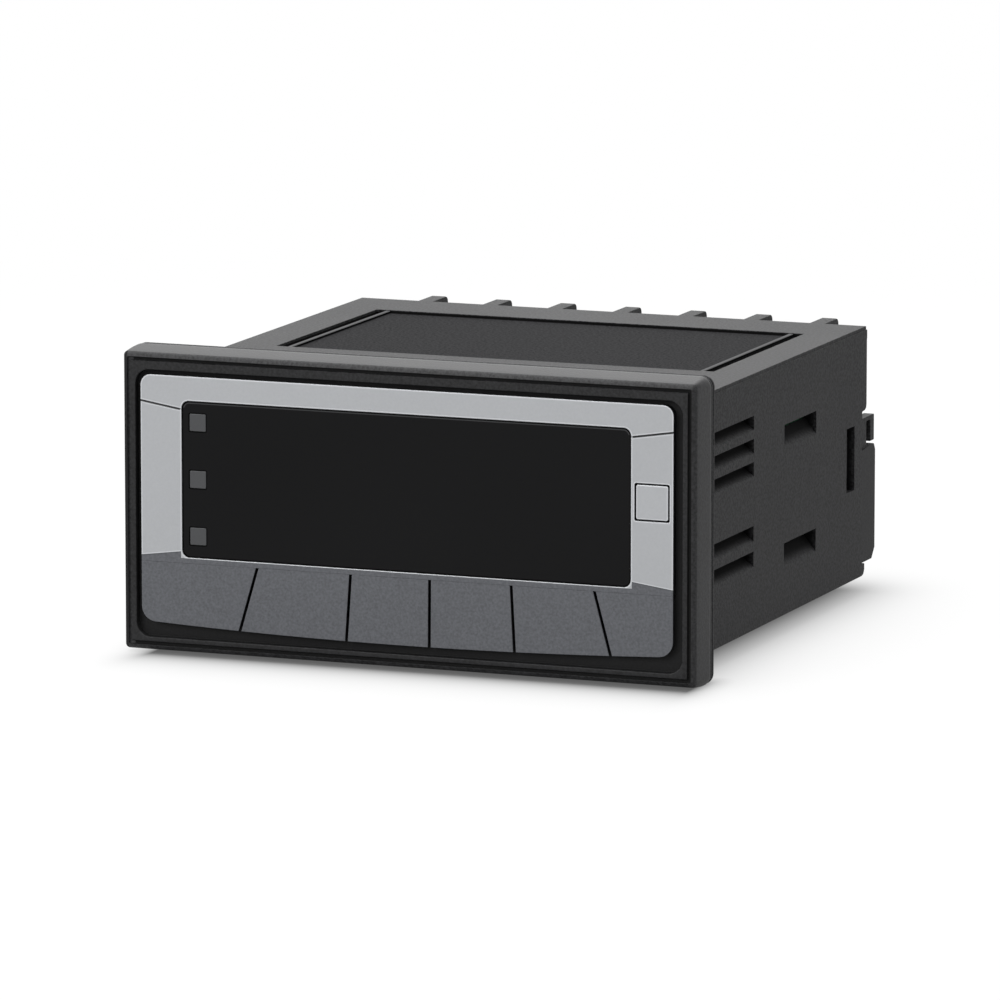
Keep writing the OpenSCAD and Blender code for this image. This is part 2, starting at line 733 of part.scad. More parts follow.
module plug_block() color([0.13, 0.13, 0.135]) {
    half = case_w / 2 - fit_clear;
    rear = case_l + block_l;
    difference() {
        union() {
            rotate([90, 0, 90]) linear_extrude(2 * half, center = true) polygon([
                [case_l + 0.1, block_bottom],
                [rear - 1.5, block_bottom],
                [rear, block_bottom + 1.7],
                [rear, block_top - 1.2],
                [rear - 0.6, block_top - 0.2],
                [rear - 2, block_top],
                [case_l + 0.1, block_top - 0.6]
            ]);
            box(-inner_w / 2 + 1, inner_w / 2 - 1, cover_y + cover_t, case_l + 0.2,
                block_bottom + 1, block_top - 1.2);
        }
        for (i = [0 : block_ways - 1]) {
            box(way_x(i) - 1.9, way_x(i) + 1.9, rear - 4, rear + 1,
                block_bottom + 3, block_bottom + 6.8);
            translate([way_x(i), rear - 4, block_bottom + 13]) rotate([-90, 0, 0])
                cylinder(h = 5, r = 2.1);
            box(way_x(i) - 0.9, way_x(i) + 0.9, case_l - 1, case_l + 2.4,
                block_bottom + 8, block_bottom + 9.8);
        }
    }
}

module plug_screws() color([0.80, 0.81, 0.83]) {
    y = case_l + block_l - 4;
    for (i = [0 : block_ways - 1]) translate([way_x(i), y, block_bottom + 13]) difference() {
        rotate([-90, 0, 0]) cylinder(h = 2.4, r = 1.9);
        box(-3, 3, 1.6, 3, -0.3, 0.3);
    }
}

// Bent pins from the main board through the cover into the plug block
module plug_pins() color([0.80, 0.70, 0.40]) {
    z = block_bottom + 8.3;
    for (i = [0 : block_ways - 1]) {
        box(way_x(i) - 0.6, way_x(i) + 0.6, cover_y - 5, case_l + 2, z, z + 1.2);
        box(way_x(i) - 0.6, way_x(i) + 0.6, cover_y - 5, cover_y - 3.8, main_z + board_t, z + 0.6);
    }
}

case_shell();
bezel_frame();
panel_gasket();
face_panel();
for (i = [1 : 6]) key(i);
square_key();
window_lens();
for (i = [1 : 3]) light_guide(i);
top_label_plate();
display_board();
for (i = [1 : 5]) digit(i);
for (i = [1 : 7]) key_switch(i);
indicator_leds();
board_link();
main_board();
power_board();
processor();
transformer();
for (i = [1 : 2]) relay(i);
for (i = [1 : 2]) capacitor(i);
fuse();
rear_cover();
terminal_contacts();
terminal_clamps();
terminal_screws();
plug_block();
plug_pins();
plug_screws();
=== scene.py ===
import math

import bmesh
import bpy
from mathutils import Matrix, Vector


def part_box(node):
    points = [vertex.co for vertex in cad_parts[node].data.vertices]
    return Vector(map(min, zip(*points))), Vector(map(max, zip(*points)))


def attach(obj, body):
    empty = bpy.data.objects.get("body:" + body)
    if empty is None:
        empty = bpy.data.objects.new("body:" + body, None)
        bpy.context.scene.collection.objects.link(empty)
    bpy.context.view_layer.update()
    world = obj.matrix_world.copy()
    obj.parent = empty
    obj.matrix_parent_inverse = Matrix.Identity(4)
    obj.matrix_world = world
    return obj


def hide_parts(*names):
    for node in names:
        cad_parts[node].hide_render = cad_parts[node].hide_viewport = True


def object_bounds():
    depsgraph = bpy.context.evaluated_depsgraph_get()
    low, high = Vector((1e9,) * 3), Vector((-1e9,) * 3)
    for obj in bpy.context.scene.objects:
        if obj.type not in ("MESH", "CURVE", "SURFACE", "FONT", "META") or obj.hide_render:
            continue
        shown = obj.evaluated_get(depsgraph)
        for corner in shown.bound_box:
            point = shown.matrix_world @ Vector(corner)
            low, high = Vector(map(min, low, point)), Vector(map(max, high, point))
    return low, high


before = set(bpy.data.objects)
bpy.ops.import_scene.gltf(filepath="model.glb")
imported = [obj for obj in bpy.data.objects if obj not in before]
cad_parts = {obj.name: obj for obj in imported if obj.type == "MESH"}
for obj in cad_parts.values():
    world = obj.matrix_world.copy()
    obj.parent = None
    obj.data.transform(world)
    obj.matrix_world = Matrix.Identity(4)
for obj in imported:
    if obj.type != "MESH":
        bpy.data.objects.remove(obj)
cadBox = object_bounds()
scene = bpy.context.scene
mm = 0.001
print("frame loaded")


def millimetres(node):
    low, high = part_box(node)
    return [v / mm for v in (low.x, high.x, low.y, high.y, low.z, high.z)]


# boxes seen from the front are (x0, x1, z0, z1)
def frontBox(node):
    x0, x1, _, _, z0, z1 = millimetres(node)
    return x0, x1, z0, z1


def grown(box, by):
    return box[0] - by, box[1] + by, box[2] - by, box[3] + by


# ---- shader sockets as values ----
# any node: its type, its settings, then its sockets by name or number
def addNode(tree, kind, settings=None, sockets=None, out=0):
    made = tree.nodes.new(kind)
    for name, value in (settings or {}).items():
        setattr(made, name, value)
    for name, value in (sockets or {}).items():
        if isinstance(value, Wire):
            tree.links.new(value.socket, made.inputs[name])
        else:
            made.inputs[name].default_value = value
    return Wire(tree, made.outputs[out]) if made.outputs else None


class Wire:
    def __init__(self, tree, socket):
        self.tree = tree
        self.socket = socket

    def calc(self, operation, *values):
        return addNode(self.tree, "ShaderNodeMath", {"operation": operation}, dict(enumerate(values)))

    def __add__(self, other):
        return self.calc("ADD", self, other)

    def __radd__(self, other):
        return self.calc("ADD", other, self)

    def __sub__(self, other):
        return self.calc("SUBTRACT", self, other)

    def __rsub__(self, other):
        return self.calc("SUBTRACT", other, self)

    def __mul__(self, other):
        return self.calc("MULTIPLY", self, other)

    def __rmul__(self, other):
        return self.calc("MULTIPLY", other, self)

    def __truediv__(self, other):
        return self.calc("DIVIDE", self, other)

    def __rtruediv__(self, other):
        return self.calc("DIVIDE", other, self)

    def __pow__(self, other):
        return self.calc("POWER", self, other)

    def __rpow__(self, other):
        return self.calc("POWER", other, self)

    def __gt__(self, other):
        return self.calc("GREATER_THAN", self, other)

    def __lt__(self, other):
        return self.calc("LESS_THAN", self, other)

    def __abs__(self):
        return self.calc("ABSOLUTE", self)

    def root(self):
        return self.calc("SQRT", self)

    def fading(self):
        return self.calc("EXPONENT", 0 - self)

    def larger(self, other):
        return self.calc("MAXIMUM", self, other)

    def smaller(self, other):
        return self.calc("MINIMUM", self, other)


class Finish:
    def __init__(self, name):
        self.material = bpy.data.materials.new(name)
        self.material.use_nodes = True
        self.tree = self.material.node_tree
        self.tree.nodes.clear()
        self.place = self.node("ShaderNodeTexCoord", out="Object")

    def node(self, kind, settings=None, sockets=None, out=0):
        return addNode(self.tree, kind, settings, sockets, out)

    def axes(self):
        split = self.node("ShaderNodeSeparateXYZ", sockets={"Vector": self.place})
        return [Wire(self.tree, axis) for axis in split.socket.node.outputs]

    # noise about zero, from -0.5 to 0.5, with its size in millimetres
    def noise(self, size, detail=2.0, rough=0.5):
        sockets = {"Vector": self.place, "Scale": 1 / (size * mm), "Detail": detail, "Roughness": rough}
        return self.node("ShaderNodeTexNoise", sockets=sockets) - 0.5

    def mix(self, amount, low, high):
        return self.node("ShaderNodeMix", {"data_type": "RGBA"}, {0: amount, 6: low, 7: high}, 2)

    def blend(self, amount, low, high):
        return self.node("ShaderNodeMixShader", sockets={0: amount, 1: low, 2: high})

    def bump(self, height, deep):
        return self.node("ShaderNodeBump", sockets={"Height": height, "Distance": deep * mm, "Strength": 1.0})

    def end(self, surface):
        self.node("ShaderNodeOutputMaterial", sockets={"Surface": surface})
        return self.material

    def close(self, **sockets):
        names = {"colour": "Base Color", "rough": "Roughness", "metal": "Metallic",
                 "shine": "Specular IOR Level", "normal": "Normal"}
        wired = {names[name]: value for name, value in sockets.items()}
        return self.end(self.node("ShaderNodeBsdfPrincipled", sockets=wired))


def tone(colour, factor):
    return tuple(min(c * factor, 1.0) for c in colour[:3]) + (1.0,)


def within(value, low, high):
    return (value > low * mm) * (value < high * mm)


def inside(x, z, x0, x1, z0, z1):
    return within(x, x0, x1) * within(z, z0, z1)


# how far a point lies outside a round-cornered box seen from the front; inside it stops at -radius
def awayFrom(x, z, box, radius):
    x0, x1, z0, z1 = (v * mm for v in box)
    r = radius * mm
    side = (abs(x - (x0 + x1) / 2) - ((x1 - x0) / 2 - r)).larger(0)
    rise = (abs(z - (z0 + z1) / 2) - ((z1 - z0) / 2 - r)).larger(0)
    return (side * side + rise * rise).root() - r


# ---- plastics ----
# rail is the tone of the painted highlights on the label tray's rail tops and along the bezel's seam
plasticTones = {"case": (0.0245, 0.0245, 0.0255), "bezel": (0.0185, 0.0185, 0.0195),
                "rail": (0.11, 0.11, 0.112), "seal": (0.022, 0.022, 0.023),
                "inlay": (0.0150, 0.0150, 0.0160), "block": (0.025, 0.025, 0.026)}
plasticGrain = {"relief": 0.03, "darkest": 0.35, "palest": 1.85, "cloud": 26, "cloudTone": 0.35,
                "fineGloss": 0.22, "cloudGloss": 0.08, "hollowGloss": 0.3}
# where painted shade darkens the plastics in hollows, grooves and on shaded faces, and where painted
# highlights lighten them
paintedLightSizes = {"frontIn": 0.12, "openSide": 2.58, "openTop": 3.15, "openBottom": 2.55,
               "openDark": 0.75, "lipDark": 0.38, "leftEdge": 1.27, "leftDeep": 0.7, "leftDark": 0.9,
               "ring": 1.27, "ringLeft": 2.34, "ringIn": 1.82, "ringSide": 1.94, "ringDeep": (0.06, 0.6),
               "bezelSeamHighlight": (-2.25, -1.86), "lineShare": 0.25,
               "sealNear": (-1.8, -1.53), "sealFar": (-1.02, -0.7), "farDark": 0.6,
               "sidesIn": 0.9, "railTop": 0.1, "railFoot": 0.37}


# spark-eroded grain in colour, gloss and relief; painted shade darkens and roughens it where it lies deep,
# and a painted highlight lightens it where given
def mouldedPlastic(name, part, grain=0.45, rough=0.6, shine=0.1, spark=4.5,
                   paintedShade=None, shadeTone=0.15, paintedHighlight=None):
    f = Finish(name)
    s, colour = plasticGrain, plasticTones[part]
    fine, cloud = f.noise(grain, 3.0, 0.6), f.noise(s["cloud"])
    spread = fine * spark + cloud * s["cloudTone"] + 0.5
    paint = f.mix(spread, tone(colour, s["darkest"]), tone(colour, s["palest"]))
    gloss = fine * s["fineGloss"] + cloud * s["cloudGloss"] + rough
    # painted highlight first, then painted shade where the plastic lies deep
    if paintedHighlight:
        paint = f.mix(paintedHighlight(f), paint, plasticTones["rail"] + (1.0,))
    if paintedShade:
        deep = paintedShade(f)
        paint = f.mix(deep, paint, tone(colour, shadeTone))
        gloss = gloss + deep * s["hollowGloss"]
    return f.close(colour=paint, rough=gloss, shine=shine, normal=f.bump(fine, s["relief"]))


# painted shade on the walls of the opening, in the groove round the front, on its front lip and along its
# left edge
def bezelPaintedShade(f):
    x, y, z = f.axes()
    s = paintedLightSizes
    x0, x1, face, _, z0, z1 = millimetres("bezel_frame")
    opening = inside(x, z, x0 + s["openSide"], x1 - s["openSide"], z0 + s["openBottom"], z1 - s["openTop"])
    ringOut = inside(x, z, x0 + s["ringLeft"], x1 - s["ring"], z0 + s["ring"], z1 - s["ring"])
    ringIn = inside(x, z, x0 + s["ringSide"], x1 - s["ringSide"], z0 + s["ringIn"], z1 - s["ringIn"])
    walls = opening * (y > (face + s["frontIn"]) * mm) * s["openDark"]
    lip = within(y, face - 1, face + 0.03) * s["lipDark"]
    left = within(x, x0 - 1, x0 + s["leftEdge"]) * (y < (face + s["leftDeep"]) * mm) * s["leftDark"]
    groove = ringOut * (1 - ringIn) * within(y, *(face + deep for deep in s["ringDeep"]))
    return walls.larger(lip).larger(left).larger(groove)


# a painted highlight where the bezel's sides meet the gasket
def bezelSeamHighlight(f):
    return within(f.axes()[1], *paintedLightSizes["bezelSeamHighlight"]) * paintedLightSizes["lineShare"]


# painted shade in the two grooves round the gasket
def sealPaintedShade(f):
    y, s = f.axes()[1], paintedLightSizes
    return within(y, *s["sealNear"]).larger(within(y, *s["sealFar"]) * s["farDark"])


# painted shade behind the openings of the side walls, and down the walls of the top recess
def casePaintedShade(f):
    x, y, z = f.axes()
    _, boardX, boardLow, boardTop = frontBox("display_board")
    inwards = ((boardX + 2.1) * mm - abs(x)) / (paintedLightSizes["sidesIn"] * mm)
    sides = inwards.larger(0).smaller(1) * within(z, boardLow - 1.9, boardTop + 1.9) * within(y, 3.2, 80.3)
    x0, x1, y0, y1, z0, z1 = millimetres("top_label_plate")
    recess = inside(x, z, x0 - 1.2, x1 + 1.2, z0 - 1.5, z1 - 0.06) * within(y, y0 - 0.1, y1 + 0.4)
    return sides.larger(recess)


# painted highlight along the tops of the label tray's rails
def railTopHighlight(f):
    return f.axes()[2] > (frontBox("top_label_plate")[3] - paintedLightSizes["railTop"]) * mm


# painted shade down the sides of the rails
def railSideShade(f):
    high = frontBox("top_label_plate")[3]
    return within(f.axes()[2], high - paintedLightSizes["railFoot"], high - paintedLightSizes["railTop"])


casePlastic = mouldedPlastic("casePlastic", "case", paintedShade=casePaintedShade)
bezelPlastic = mouldedPlastic("bezelPlastic", "bezel", rough=0.52, shine=0.26, spark=3.0,
                              paintedShade=bezelPaintedShade, shadeTone=0.05, paintedHighlight=bezelSeamHighlight)
sealRubber = mouldedPlastic("sealRubber", "seal", rough=0.7, shine=0.25, paintedShade=sealPaintedShade)
inlayPlastic = mouldedPlastic("inlayPlastic", "inlay", rough=0.88, shine=0.05,
                              paintedShade=railSideShade, paintedHighlight=railTopHighlight)
blockPlastic = mouldedPlastic("blockPlastic", "block", grain=0.4, spark=2.0)
print("plastics made")

# ---- face: silver film above, dark grey below, under one lacquer ----
faceTones = {"silver": (0.42, 0.43, 0.445), "grey": (0.102, 0.106, 0.117), "cornerX": 37.3,
             "cornerZ": -7.5, "slope": -0.134, "lineW": 0.16, "trimW": 0.2, "trimH": 0.12,
             "rimHighlightTone": 1.4, "mitreShadeTone": 0.09, "wallShadeTone": 0.06, "wallFrom": 0.09, "capFrom": 0.12,
             "grain": 0.40, "cloud": 20, "relief": 0.006, "rough": 0.42, "greyRough": 0.1, "metal": 0.25}


def filmNoise(name):
    f = Finish(name)
    return f, f.noise(faceTones["grain"], 2.0, 0.6), f.noise(faceTones["cloud"])


def silverFilm(f, fine, cloud, low, high):
    colour = faceTones["silver"]
    return f.mix(fine * 0.9 + cloud * 0.3 + 0.5, tone(colour, low), tone(colour, high))


def darkFilm(f, fine, cloud):
    colour = faceTones["grey"]
    return f.mix(fine * 2.6 + cloud * 0.25 + 0.5, tone(colour, 0.8), tone(colour, 1.2))


# the film ends at the front edge of a piece, and the walls behind it are painted dark as shade
def closeFilm(f, film, fine, edge, rough, silver=None):
    t = faceTones
    wall = f.axes()[1] > (facts["face"] + edge) * mm
    sockets = {"colour": f.mix(wall, film, tone(t["grey"], t["wallShadeTone"])), "shine": 0.4,
               "rough": fine * 0.16 + rough, "normal": f.bump(fine, t["relief"])}
    if silver is not None:
        sockets["metal"] = (1 - wall) * silver * t["metal"]
    return f.close(**sockets)


# silver above the two-tone line, grey below; painted highlights round the window, the square hole and the
# outer edge, beside the mitre grooves and along the silver side of the line; painted shade in the mitre
# grooves and along the grey side of the line
def faceSkin(name):
    f, fine, cloud = filmNoise(name)
    x, _, z = f.axes()
    s, t, cx, half = panelSizes, faceTones, facts["cx"], facts["half"]
    side = abs(x - cx * mm)
    windowX = facts["window"][1] - cx
    window = awayFrom(x, z, facts["window"], s["windowR"])
    hole = awayFrom(x, z, facts["hole"], s["squareR"])
    outside = awayFrom(x, z, (cx - half, cx + half, facts["hinge"] - 9, facts["top"]), s["topR"])
    rim = within(window, s["windowEdge"] - 0.05, s["windowEdge"] + 0.13)
    rim = rim.larger(within(hole, s["squareEdge"] - 0.03, s["squareEdge"] + 0.14))
    rim = rim.larger(within(outside, -s["edge"] - 0.13, -s["edge"] + 0.05))
    x0, z0, x1, z1 = s["mitre"]
    mitre = abs(z - z0 * mm - (side - x0 * mm) * ((z1 - z0) / (x1 - x0)))
    along = side > (windowX + 0.25) * mm
    groove = (mitre < s["mitreHalf"] * mm) * along
    lines = within(mitre, s["mitreHalf"] + 0.02, s["mitreHalf"] + 0.2) * along
    above = z - ((side - t["cornerX"] * mm) * t["slope"] + t["cornerZ"] * mm)
    trim = (side < (windowX + t["trimW"]) * mm) * (z > (facts["window"][2] - t["trimH"]) * mm)
    silver = (above > 0).larger(trim)
    shade = within(above, -t["lineW"], 0) * (1 - trim)
    pale = (within(above, 0, t["lineW"]) * 0.8).larger(rim * 0.9).larger(lines * 0.7)
    bright = f.mix(pale, silverFilm(f, fine, cloud, 0.93, 1.07), tone(t["silver"], t["rimHighlightTone"]))
    bright = f.mix(groove, bright, tone(t["silver"], t["mitreShadeTone"]))
    dark = f.mix(shade * 0.5, darkFilm(f, fine, cloud), tone(t["grey"], 0.5))
    rough = (1 - silver) * t["greyRough"] + t["rough"]
    return closeFilm(f, f.mix(silver, dark, bright), fine, t["wallFrom"], rough, silver)


def greySkin(name):
    f, fine, cloud = filmNoise(name)
    rough = faceTones["rough"] + faceTones["greyRough"]
    return closeFilm(f, darkFilm(f, fine, cloud), fine, faceTones["wallFrom"], rough)


# silver cap with a painted highlight round its edge
def silverSkin(name):
    f, fine, cloud = filmNoise(name)
    x, _, z = f.axes()
    t = faceTones
    edge = awayFrom(x, z, grown(facts["hole"], -0.25), 0.3)
    film = silverFilm(f, fine, cloud, 0.96, 1.1)
    film = f.mix(within(edge, -0.2, 0.05), film, tone(t["silver"], t["rimHighlightTone"]))
    return closeFilm(f, film, fine, t["capFrom"], t["rough"], 1.0)


# black window with painted shade round its rim and in the dark gaps round the lights, and a painted highlight
# along its top edge
def lensGloss(name):
    f = Finish(name)
    x, _, z = f.axes()
    lens = frontBox("window_lens")
    edge = awayFrom(x, z, lens, 1.2)
    near = [awayFrom(x, z, frontBox(f"light_guide_{n}"), 0.2) for n in (1, 2, 3)]
    gaps = within(near[0].smaller(near[1]).smaller(near[2]), -1, 0.15)
    paint = f.mix(f.noise(40, 1.0) + 0.5, (0.0100, 0.0100, 0.0104, 1), (0.0135, 0.0135, 0.0140, 1))
    paint = f.mix(within(edge, -0.15, 1).larger(gaps), paint, (0.003, 0.003, 0.003, 1))
    # painted highlight along the top edge
    line = within(edge, -0.34, -0.17) * (z > (lens[3] - 1) * mm)
    paint = f.mix(line, paint, (0.055, 0.055, 0.057, 1))
    return f.close(colour=paint, rough=f.noise(0.5) * 0.05 + 0.3, shine=0.03)


# ---- metals, board and small parts ----
smallGrains = {
    "metal": {"fine": (0.2, 3.0, 0.6), "cloud": (4, 2.0), "tones": (0.78, 1.12), "spread": (0.7, 0.6),
              "gloss": (0.2, 0.15), "relief": 0.004},
    "frost": {"fine": (0.25, 3.0, 0.6), "cloud": (3, 1.0), "tones": (1, 1), "spread": (0.6, 0.4),
              "gloss": (0.2, 0), "relief": 0.004},
    "plain": {"fine": (0.4, 2.0), "cloud": (8, 2.0), "tones": (0.85, 1.15), "spread": (0.5, 0.5),
              "gloss": (0.15, 0), "relief": 0.005}}


# a colour that wavers between two tones, with gloss and relief to match
def smallFinish(name, kind, colour, rough, palest=None, **more):
    f = Finish(name)
    s = smallGrains[kind]
    fine, cloud = f.noise(*s["fine"]), f.noise(*s["cloud"])
    spread = fine * s["spread"][0] + cloud * s["spread"][1] + 0.5
    gloss = fine * s["gloss"][0] + cloud * s["gloss"][1] + rough
    low, high = tone(colour, s["tones"][0]), tone(palest or colour, s["tones"][1])
    return f.close(colour=f.mix(spread, low, high), rough=gloss, normal=f.bump(fine, s["relief"]), **more)


def circuitBoard(name):
    f = Finish(name)
    weave = f.noise(0.5)
    edges = f.node("ShaderNodeTexVoronoi", {"feature": "DISTANCE_TO_EDGE"},
                   {"Vector": f.place, "Scale": 1 / (4.5 * mm)})
    track = edges < 0.045
    colour = f.mix(weave + 0.5, (0.010, 0.075, 0.030, 1), (0.016, 0.105, 0.045, 1))
    colour = f.mix(track * 0.6, colour, (0.035, 0.170, 0.075, 1))
    return f.close(colour=colour, rough=weave * 0.1 + 0.35, shine=0.5, normal=f.bump(track, 0.03))


def coreSteel(name):
    f = Finish(name)
    leaf = f.node("ShaderNodeTexWave", {"wave_type": "BANDS", "bands_direction": "Y"},
                  {"Vector": f.place, "Scale": 1 / (1.2 * mm), "Distortion": 0.4})
    return f.close(colour=f.mix(leaf, (0.12, 0.10, 0.07, 1), (0.22, 0.19, 0.13, 1)),
                   rough=f.noise(0.6) * 0.2 + 0.45, metal=0.4, normal=f.bump(leaf, 0.05))


zincSteel = smallFinish("zincSteel", "metal", (0.62, 0.62, 0.60), 0.3, metal=1.0)
brass = smallFinish("brass", "metal", (0.62, 0.44, 0.17), 0.32, metal=1.0)
guideGrey = smallFinish("guideGrey", "frost", (0.034, 0.0355, 0.038), 0.45,
                        (0.050, 0.0515, 0.055), shine=0.5)
boardGreen = circuitBoard("boardGreen")
lensBlack = lensGloss("lensBlack")
print("metals and small finishes made")


# ---- mesh helpers, all in millimetres until the last step ----
edgeSizes = {"sharpFrom": 32, "softFrom": 38, "merge": 0.002, "flat": 0.5, "even": 70}


def arc(cx, cz, r, start, end, steps):
    angles = [math.radians(start + (end - start) * k / steps) for k in range(steps + 1)]
    return [(cx + r * math.cos(a), cz + r * math.sin(a)) for a in angles]


# a round-cornered loop at depth y, round a box grown by a margin
def ring(box, margin, radius, y, steps=8):
    x0, x1, z0, z1 = grown(box, margin)
    points = []
    for cx, cz, start in ((x1 - radius, z1 - radius, 0), (x0 + radius, z1 - radius, 90),
                          (x0 + radius, z0 + radius, 180), (x1 - radius, z0 + radius, 270)):
        points += arc(cx, cz, radius, start, start + 90, steps)
    return [(x, y, z) for x, z in points]


# a skin through loops of equal length, capped at both ends or joined end to end
def loft(mesh, loops, capped=True):
    rings = [[mesh.verts.new(p) for p in loop] for loop in loops]
    following = rings[1:] if capped else rings[1:] + rings[:1]
    for a, b in zip(rings, following):
        for k in range(len(a)):
            n = (k + 1) % len(a)
            mesh.faces.new((a[k], a[n], b[n], b[k]))
    if capped:
        mesh.faces.new(rings[0])
        mesh.faces.new(list(reversed(rings[-1])))
    return mesh


def block(mesh, box, y0, y1):
    x0, x1, z0, z1 = box
    return loft(mesh, [[(x0, y, z0), (x1, y, z0), (x1, y, z1), (x0, y, z1)] for y in (y0, y1)])


# moves each corner of an anticlockwise outline inwards; edges in kept stay on their line
def insetOutline(points, by, kept):
    count = len(points)
    moved = []
    for k, (px, pz) in enumerate(points):
        lines = []
        for a, b, number in ((k - 1, k, (k - 1) % count), (k, (k + 1) % count, k)):
            dx, dz = points[b][0] - points[a][0], points[b][1] - points[a][1]
            size = math.hypot(dx, dz)
            step = 0 if number in kept else by
            lines.append((-dz / size, dx / size, step))
        (ax, az, ad), (bx, bz, bd) = lines
        turn = ax * bz - az * bx
        if abs(turn) < 0.02:  # nearly straight on
            moved.append((px + (ax * ad + bx * bd) / 2, pz + (az * ad + bz * bd) / 2))
        else:
            moved.append((px + (ad * bz - bd * az) / turn, pz + (bd * ax - ad * bx) / turn))
    return moved


# margin and depth of each loop round a quarter-round edge
def roundSteps(radius, count=3):
    angles = [math.radians(90 * k / count) for k in range(count + 1)]
    return [(radius * (1 - math.cos(a)), radius * (1 - math.sin(a))) for a in angles]


def smoothEdges(obj):
    obj.data.shade_smooth()
    obj.data.set_sharp_from_angle(angle=math.radians(edgeSizes["sharpFrom"]))


def meshObject(name, mesh, material):
    data = bpy.data.meshes.new(name)
    mesh.to_mesh(data)
    mesh.free()
    data.materials.append(material)
    obj = bpy.data.objects.new(name, data)
    scene.collection.objects.link(obj)
    return obj


def finishMesh(name, mesh, material, smooth=True):
    bmesh.ops.recalc_face_normals(mesh, faces=mesh.faces)
    bmesh.ops.scale(mesh, vec=(mm, mm, mm), verts=mesh.verts)
    obj = meshObject(name, mesh, material)
    if smooth:
        smoothEdges(obj)
    return obj


# applies the object's modifiers
def evaluated(obj):
    graph = bpy.context.evaluated_depsgraph_get()
    data = bpy.data.meshes.new_from_object(obj.evaluated_get(graph))
    old = obj.data
    obj.modifiers.clear()
    obj.data = data
    if old.users == 0:
        bpy.data.meshes.remove(old)
    return obj


# the cutter is a mesh still being made, or a finished object
def carve(obj, cutter, operation="DIFFERENCE", crossing=False):
    if isinstance(cutter, bmesh.types.BMesh):
        cutter = finishMesh("cutter", cutter, obj.data.materials[0], False)
    tool = obj.modifiers.new("carve", "BOOLEAN")
    tool.operation = operation
    tool.solver = "EXACT"
    tool.use_self = crossing  # for a cutter whose blocks run into each other
    tool.object = cutter
    evaluated(obj)
    data = cutter.data
    bpy.data.objects.remove(cutter)
    bpy.data.meshes.remove(data)
    smoothEdges(obj)
    return obj


def softened(obj, width):
    tool = obj.modifiers.new("soften", "BEVEL")
    tool.width = width * mm
    tool.segments = 2
    tool.limit_method = "ANGLE"
    tool.angle_limit = math.radians(edgeSizes["softFrom"])
    tool.use_clamp_overlap = False
    tool.miter_outer = "MITER_ARC"
    evaluated(obj)
    smoothEdges(obj)
    return obj


# a merged copy of a CAD node, ready for finer edges
def cadCopy(node, name, material):
    mesh = bmesh.new()
    mesh.from_mesh(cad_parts[node].data)
    bmesh.ops.remove_doubles(mesh, verts=mesh.verts, dist=edgeSizes["merge"] * mm)
    flat = math.radians(edgeSizes["flat"])
    bmesh.ops.dissolve_limit(mesh, angle_limit=flat, verts=mesh.verts, edges=mesh.edges)
    return meshObject(name, mesh, material)


# large faces keep their own direction, so that flats read flat up to their soft edges
def evenShading(obj):
    tool = obj.modifiers.new("even", "WEIGHTED_NORMAL")
    tool.mode = "FACE_AREA"
    tool.weight = edgeSizes["even"]
    tool.keep_sharp = True
    return evaluated(obj)


def place(obj, body, slotName, *nodes):
    evenShading(obj)
    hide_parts(*nodes)
    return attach(obj, body)


# ---- a row of equal pieces, made in Geometry Nodes from one pattern piece ----
def rowTree():
    tree = bpy.data.node_groups.new("rowOfPieces", "GeometryNodeTree")
    kinds = {"Geometry": "Geometry", "Count": "Int", "Pitch": "Vector", "Start": "Vector",
             "Turn": "Float", "Finish": "Material"}
    inputs = {}
    for name, kind in kinds.items():
        socket = tree.interface.new_socket(name, in_out="INPUT", socket_type="NodeSocket" + kind)
        inputs[name] = socket.identifier
    tree.interface.new_socket("Geometry", in_out="OUTPUT", socket_type="NodeSocketGeometry")
    given = tree.nodes.new("NodeGroupInput").outputs
    piece, count, pitch, start, turn, finish = (Wire(tree, given[name]) for name in kinds)
    line = addNode(tree, "GeometryNodeMeshLine", {"mode": "OFFSET", "count_mode": "TOTAL"},
                   {"Count": count, "Start Location": start, "Offset": pitch})
    chance = addNode(tree, "FunctionNodeRandomValue", {"data_type": "FLOAT"}, {"Seed": 4}, 1)
    around = addNode(tree, "ShaderNodeCombineXYZ", sockets={"Y": turn * chance})  # each at its own turn
    copies = addNode(tree, "GeometryNodeInstanceOnPoints",
                     sockets={"Points": line, "Instance": piece, "Rotation": around})
    real = addNode(tree, "GeometryNodeRealizeInstances", sockets={"Geometry": copies})
    painted = addNode(tree, "GeometryNodeSetMaterial", sockets={"Geometry": real, "Material": finish})
    addNode(tree, "NodeGroupOutput", sockets={"Geometry": painted})
    return tree, inputs


rowNodes, rowInputs = rowTree()


def rowOf(obj, count, pitch, start, turn=0.0):
    tool = obj.modifiers.new("row", "NODES")
    tool.node_group = rowNodes
    given = {"Count": count, "Pitch": (pitch * mm, 0.0, 0.0), "Start": tuple(v * mm for v in start),
             "Turn": turn, "Finish": obj.data.materials[0]}
    for name, value in given.items():
        tool[rowInputs[name]] = value
    evaluated(obj)
    smoothEdges(obj)
    return obj


print("tools ready")

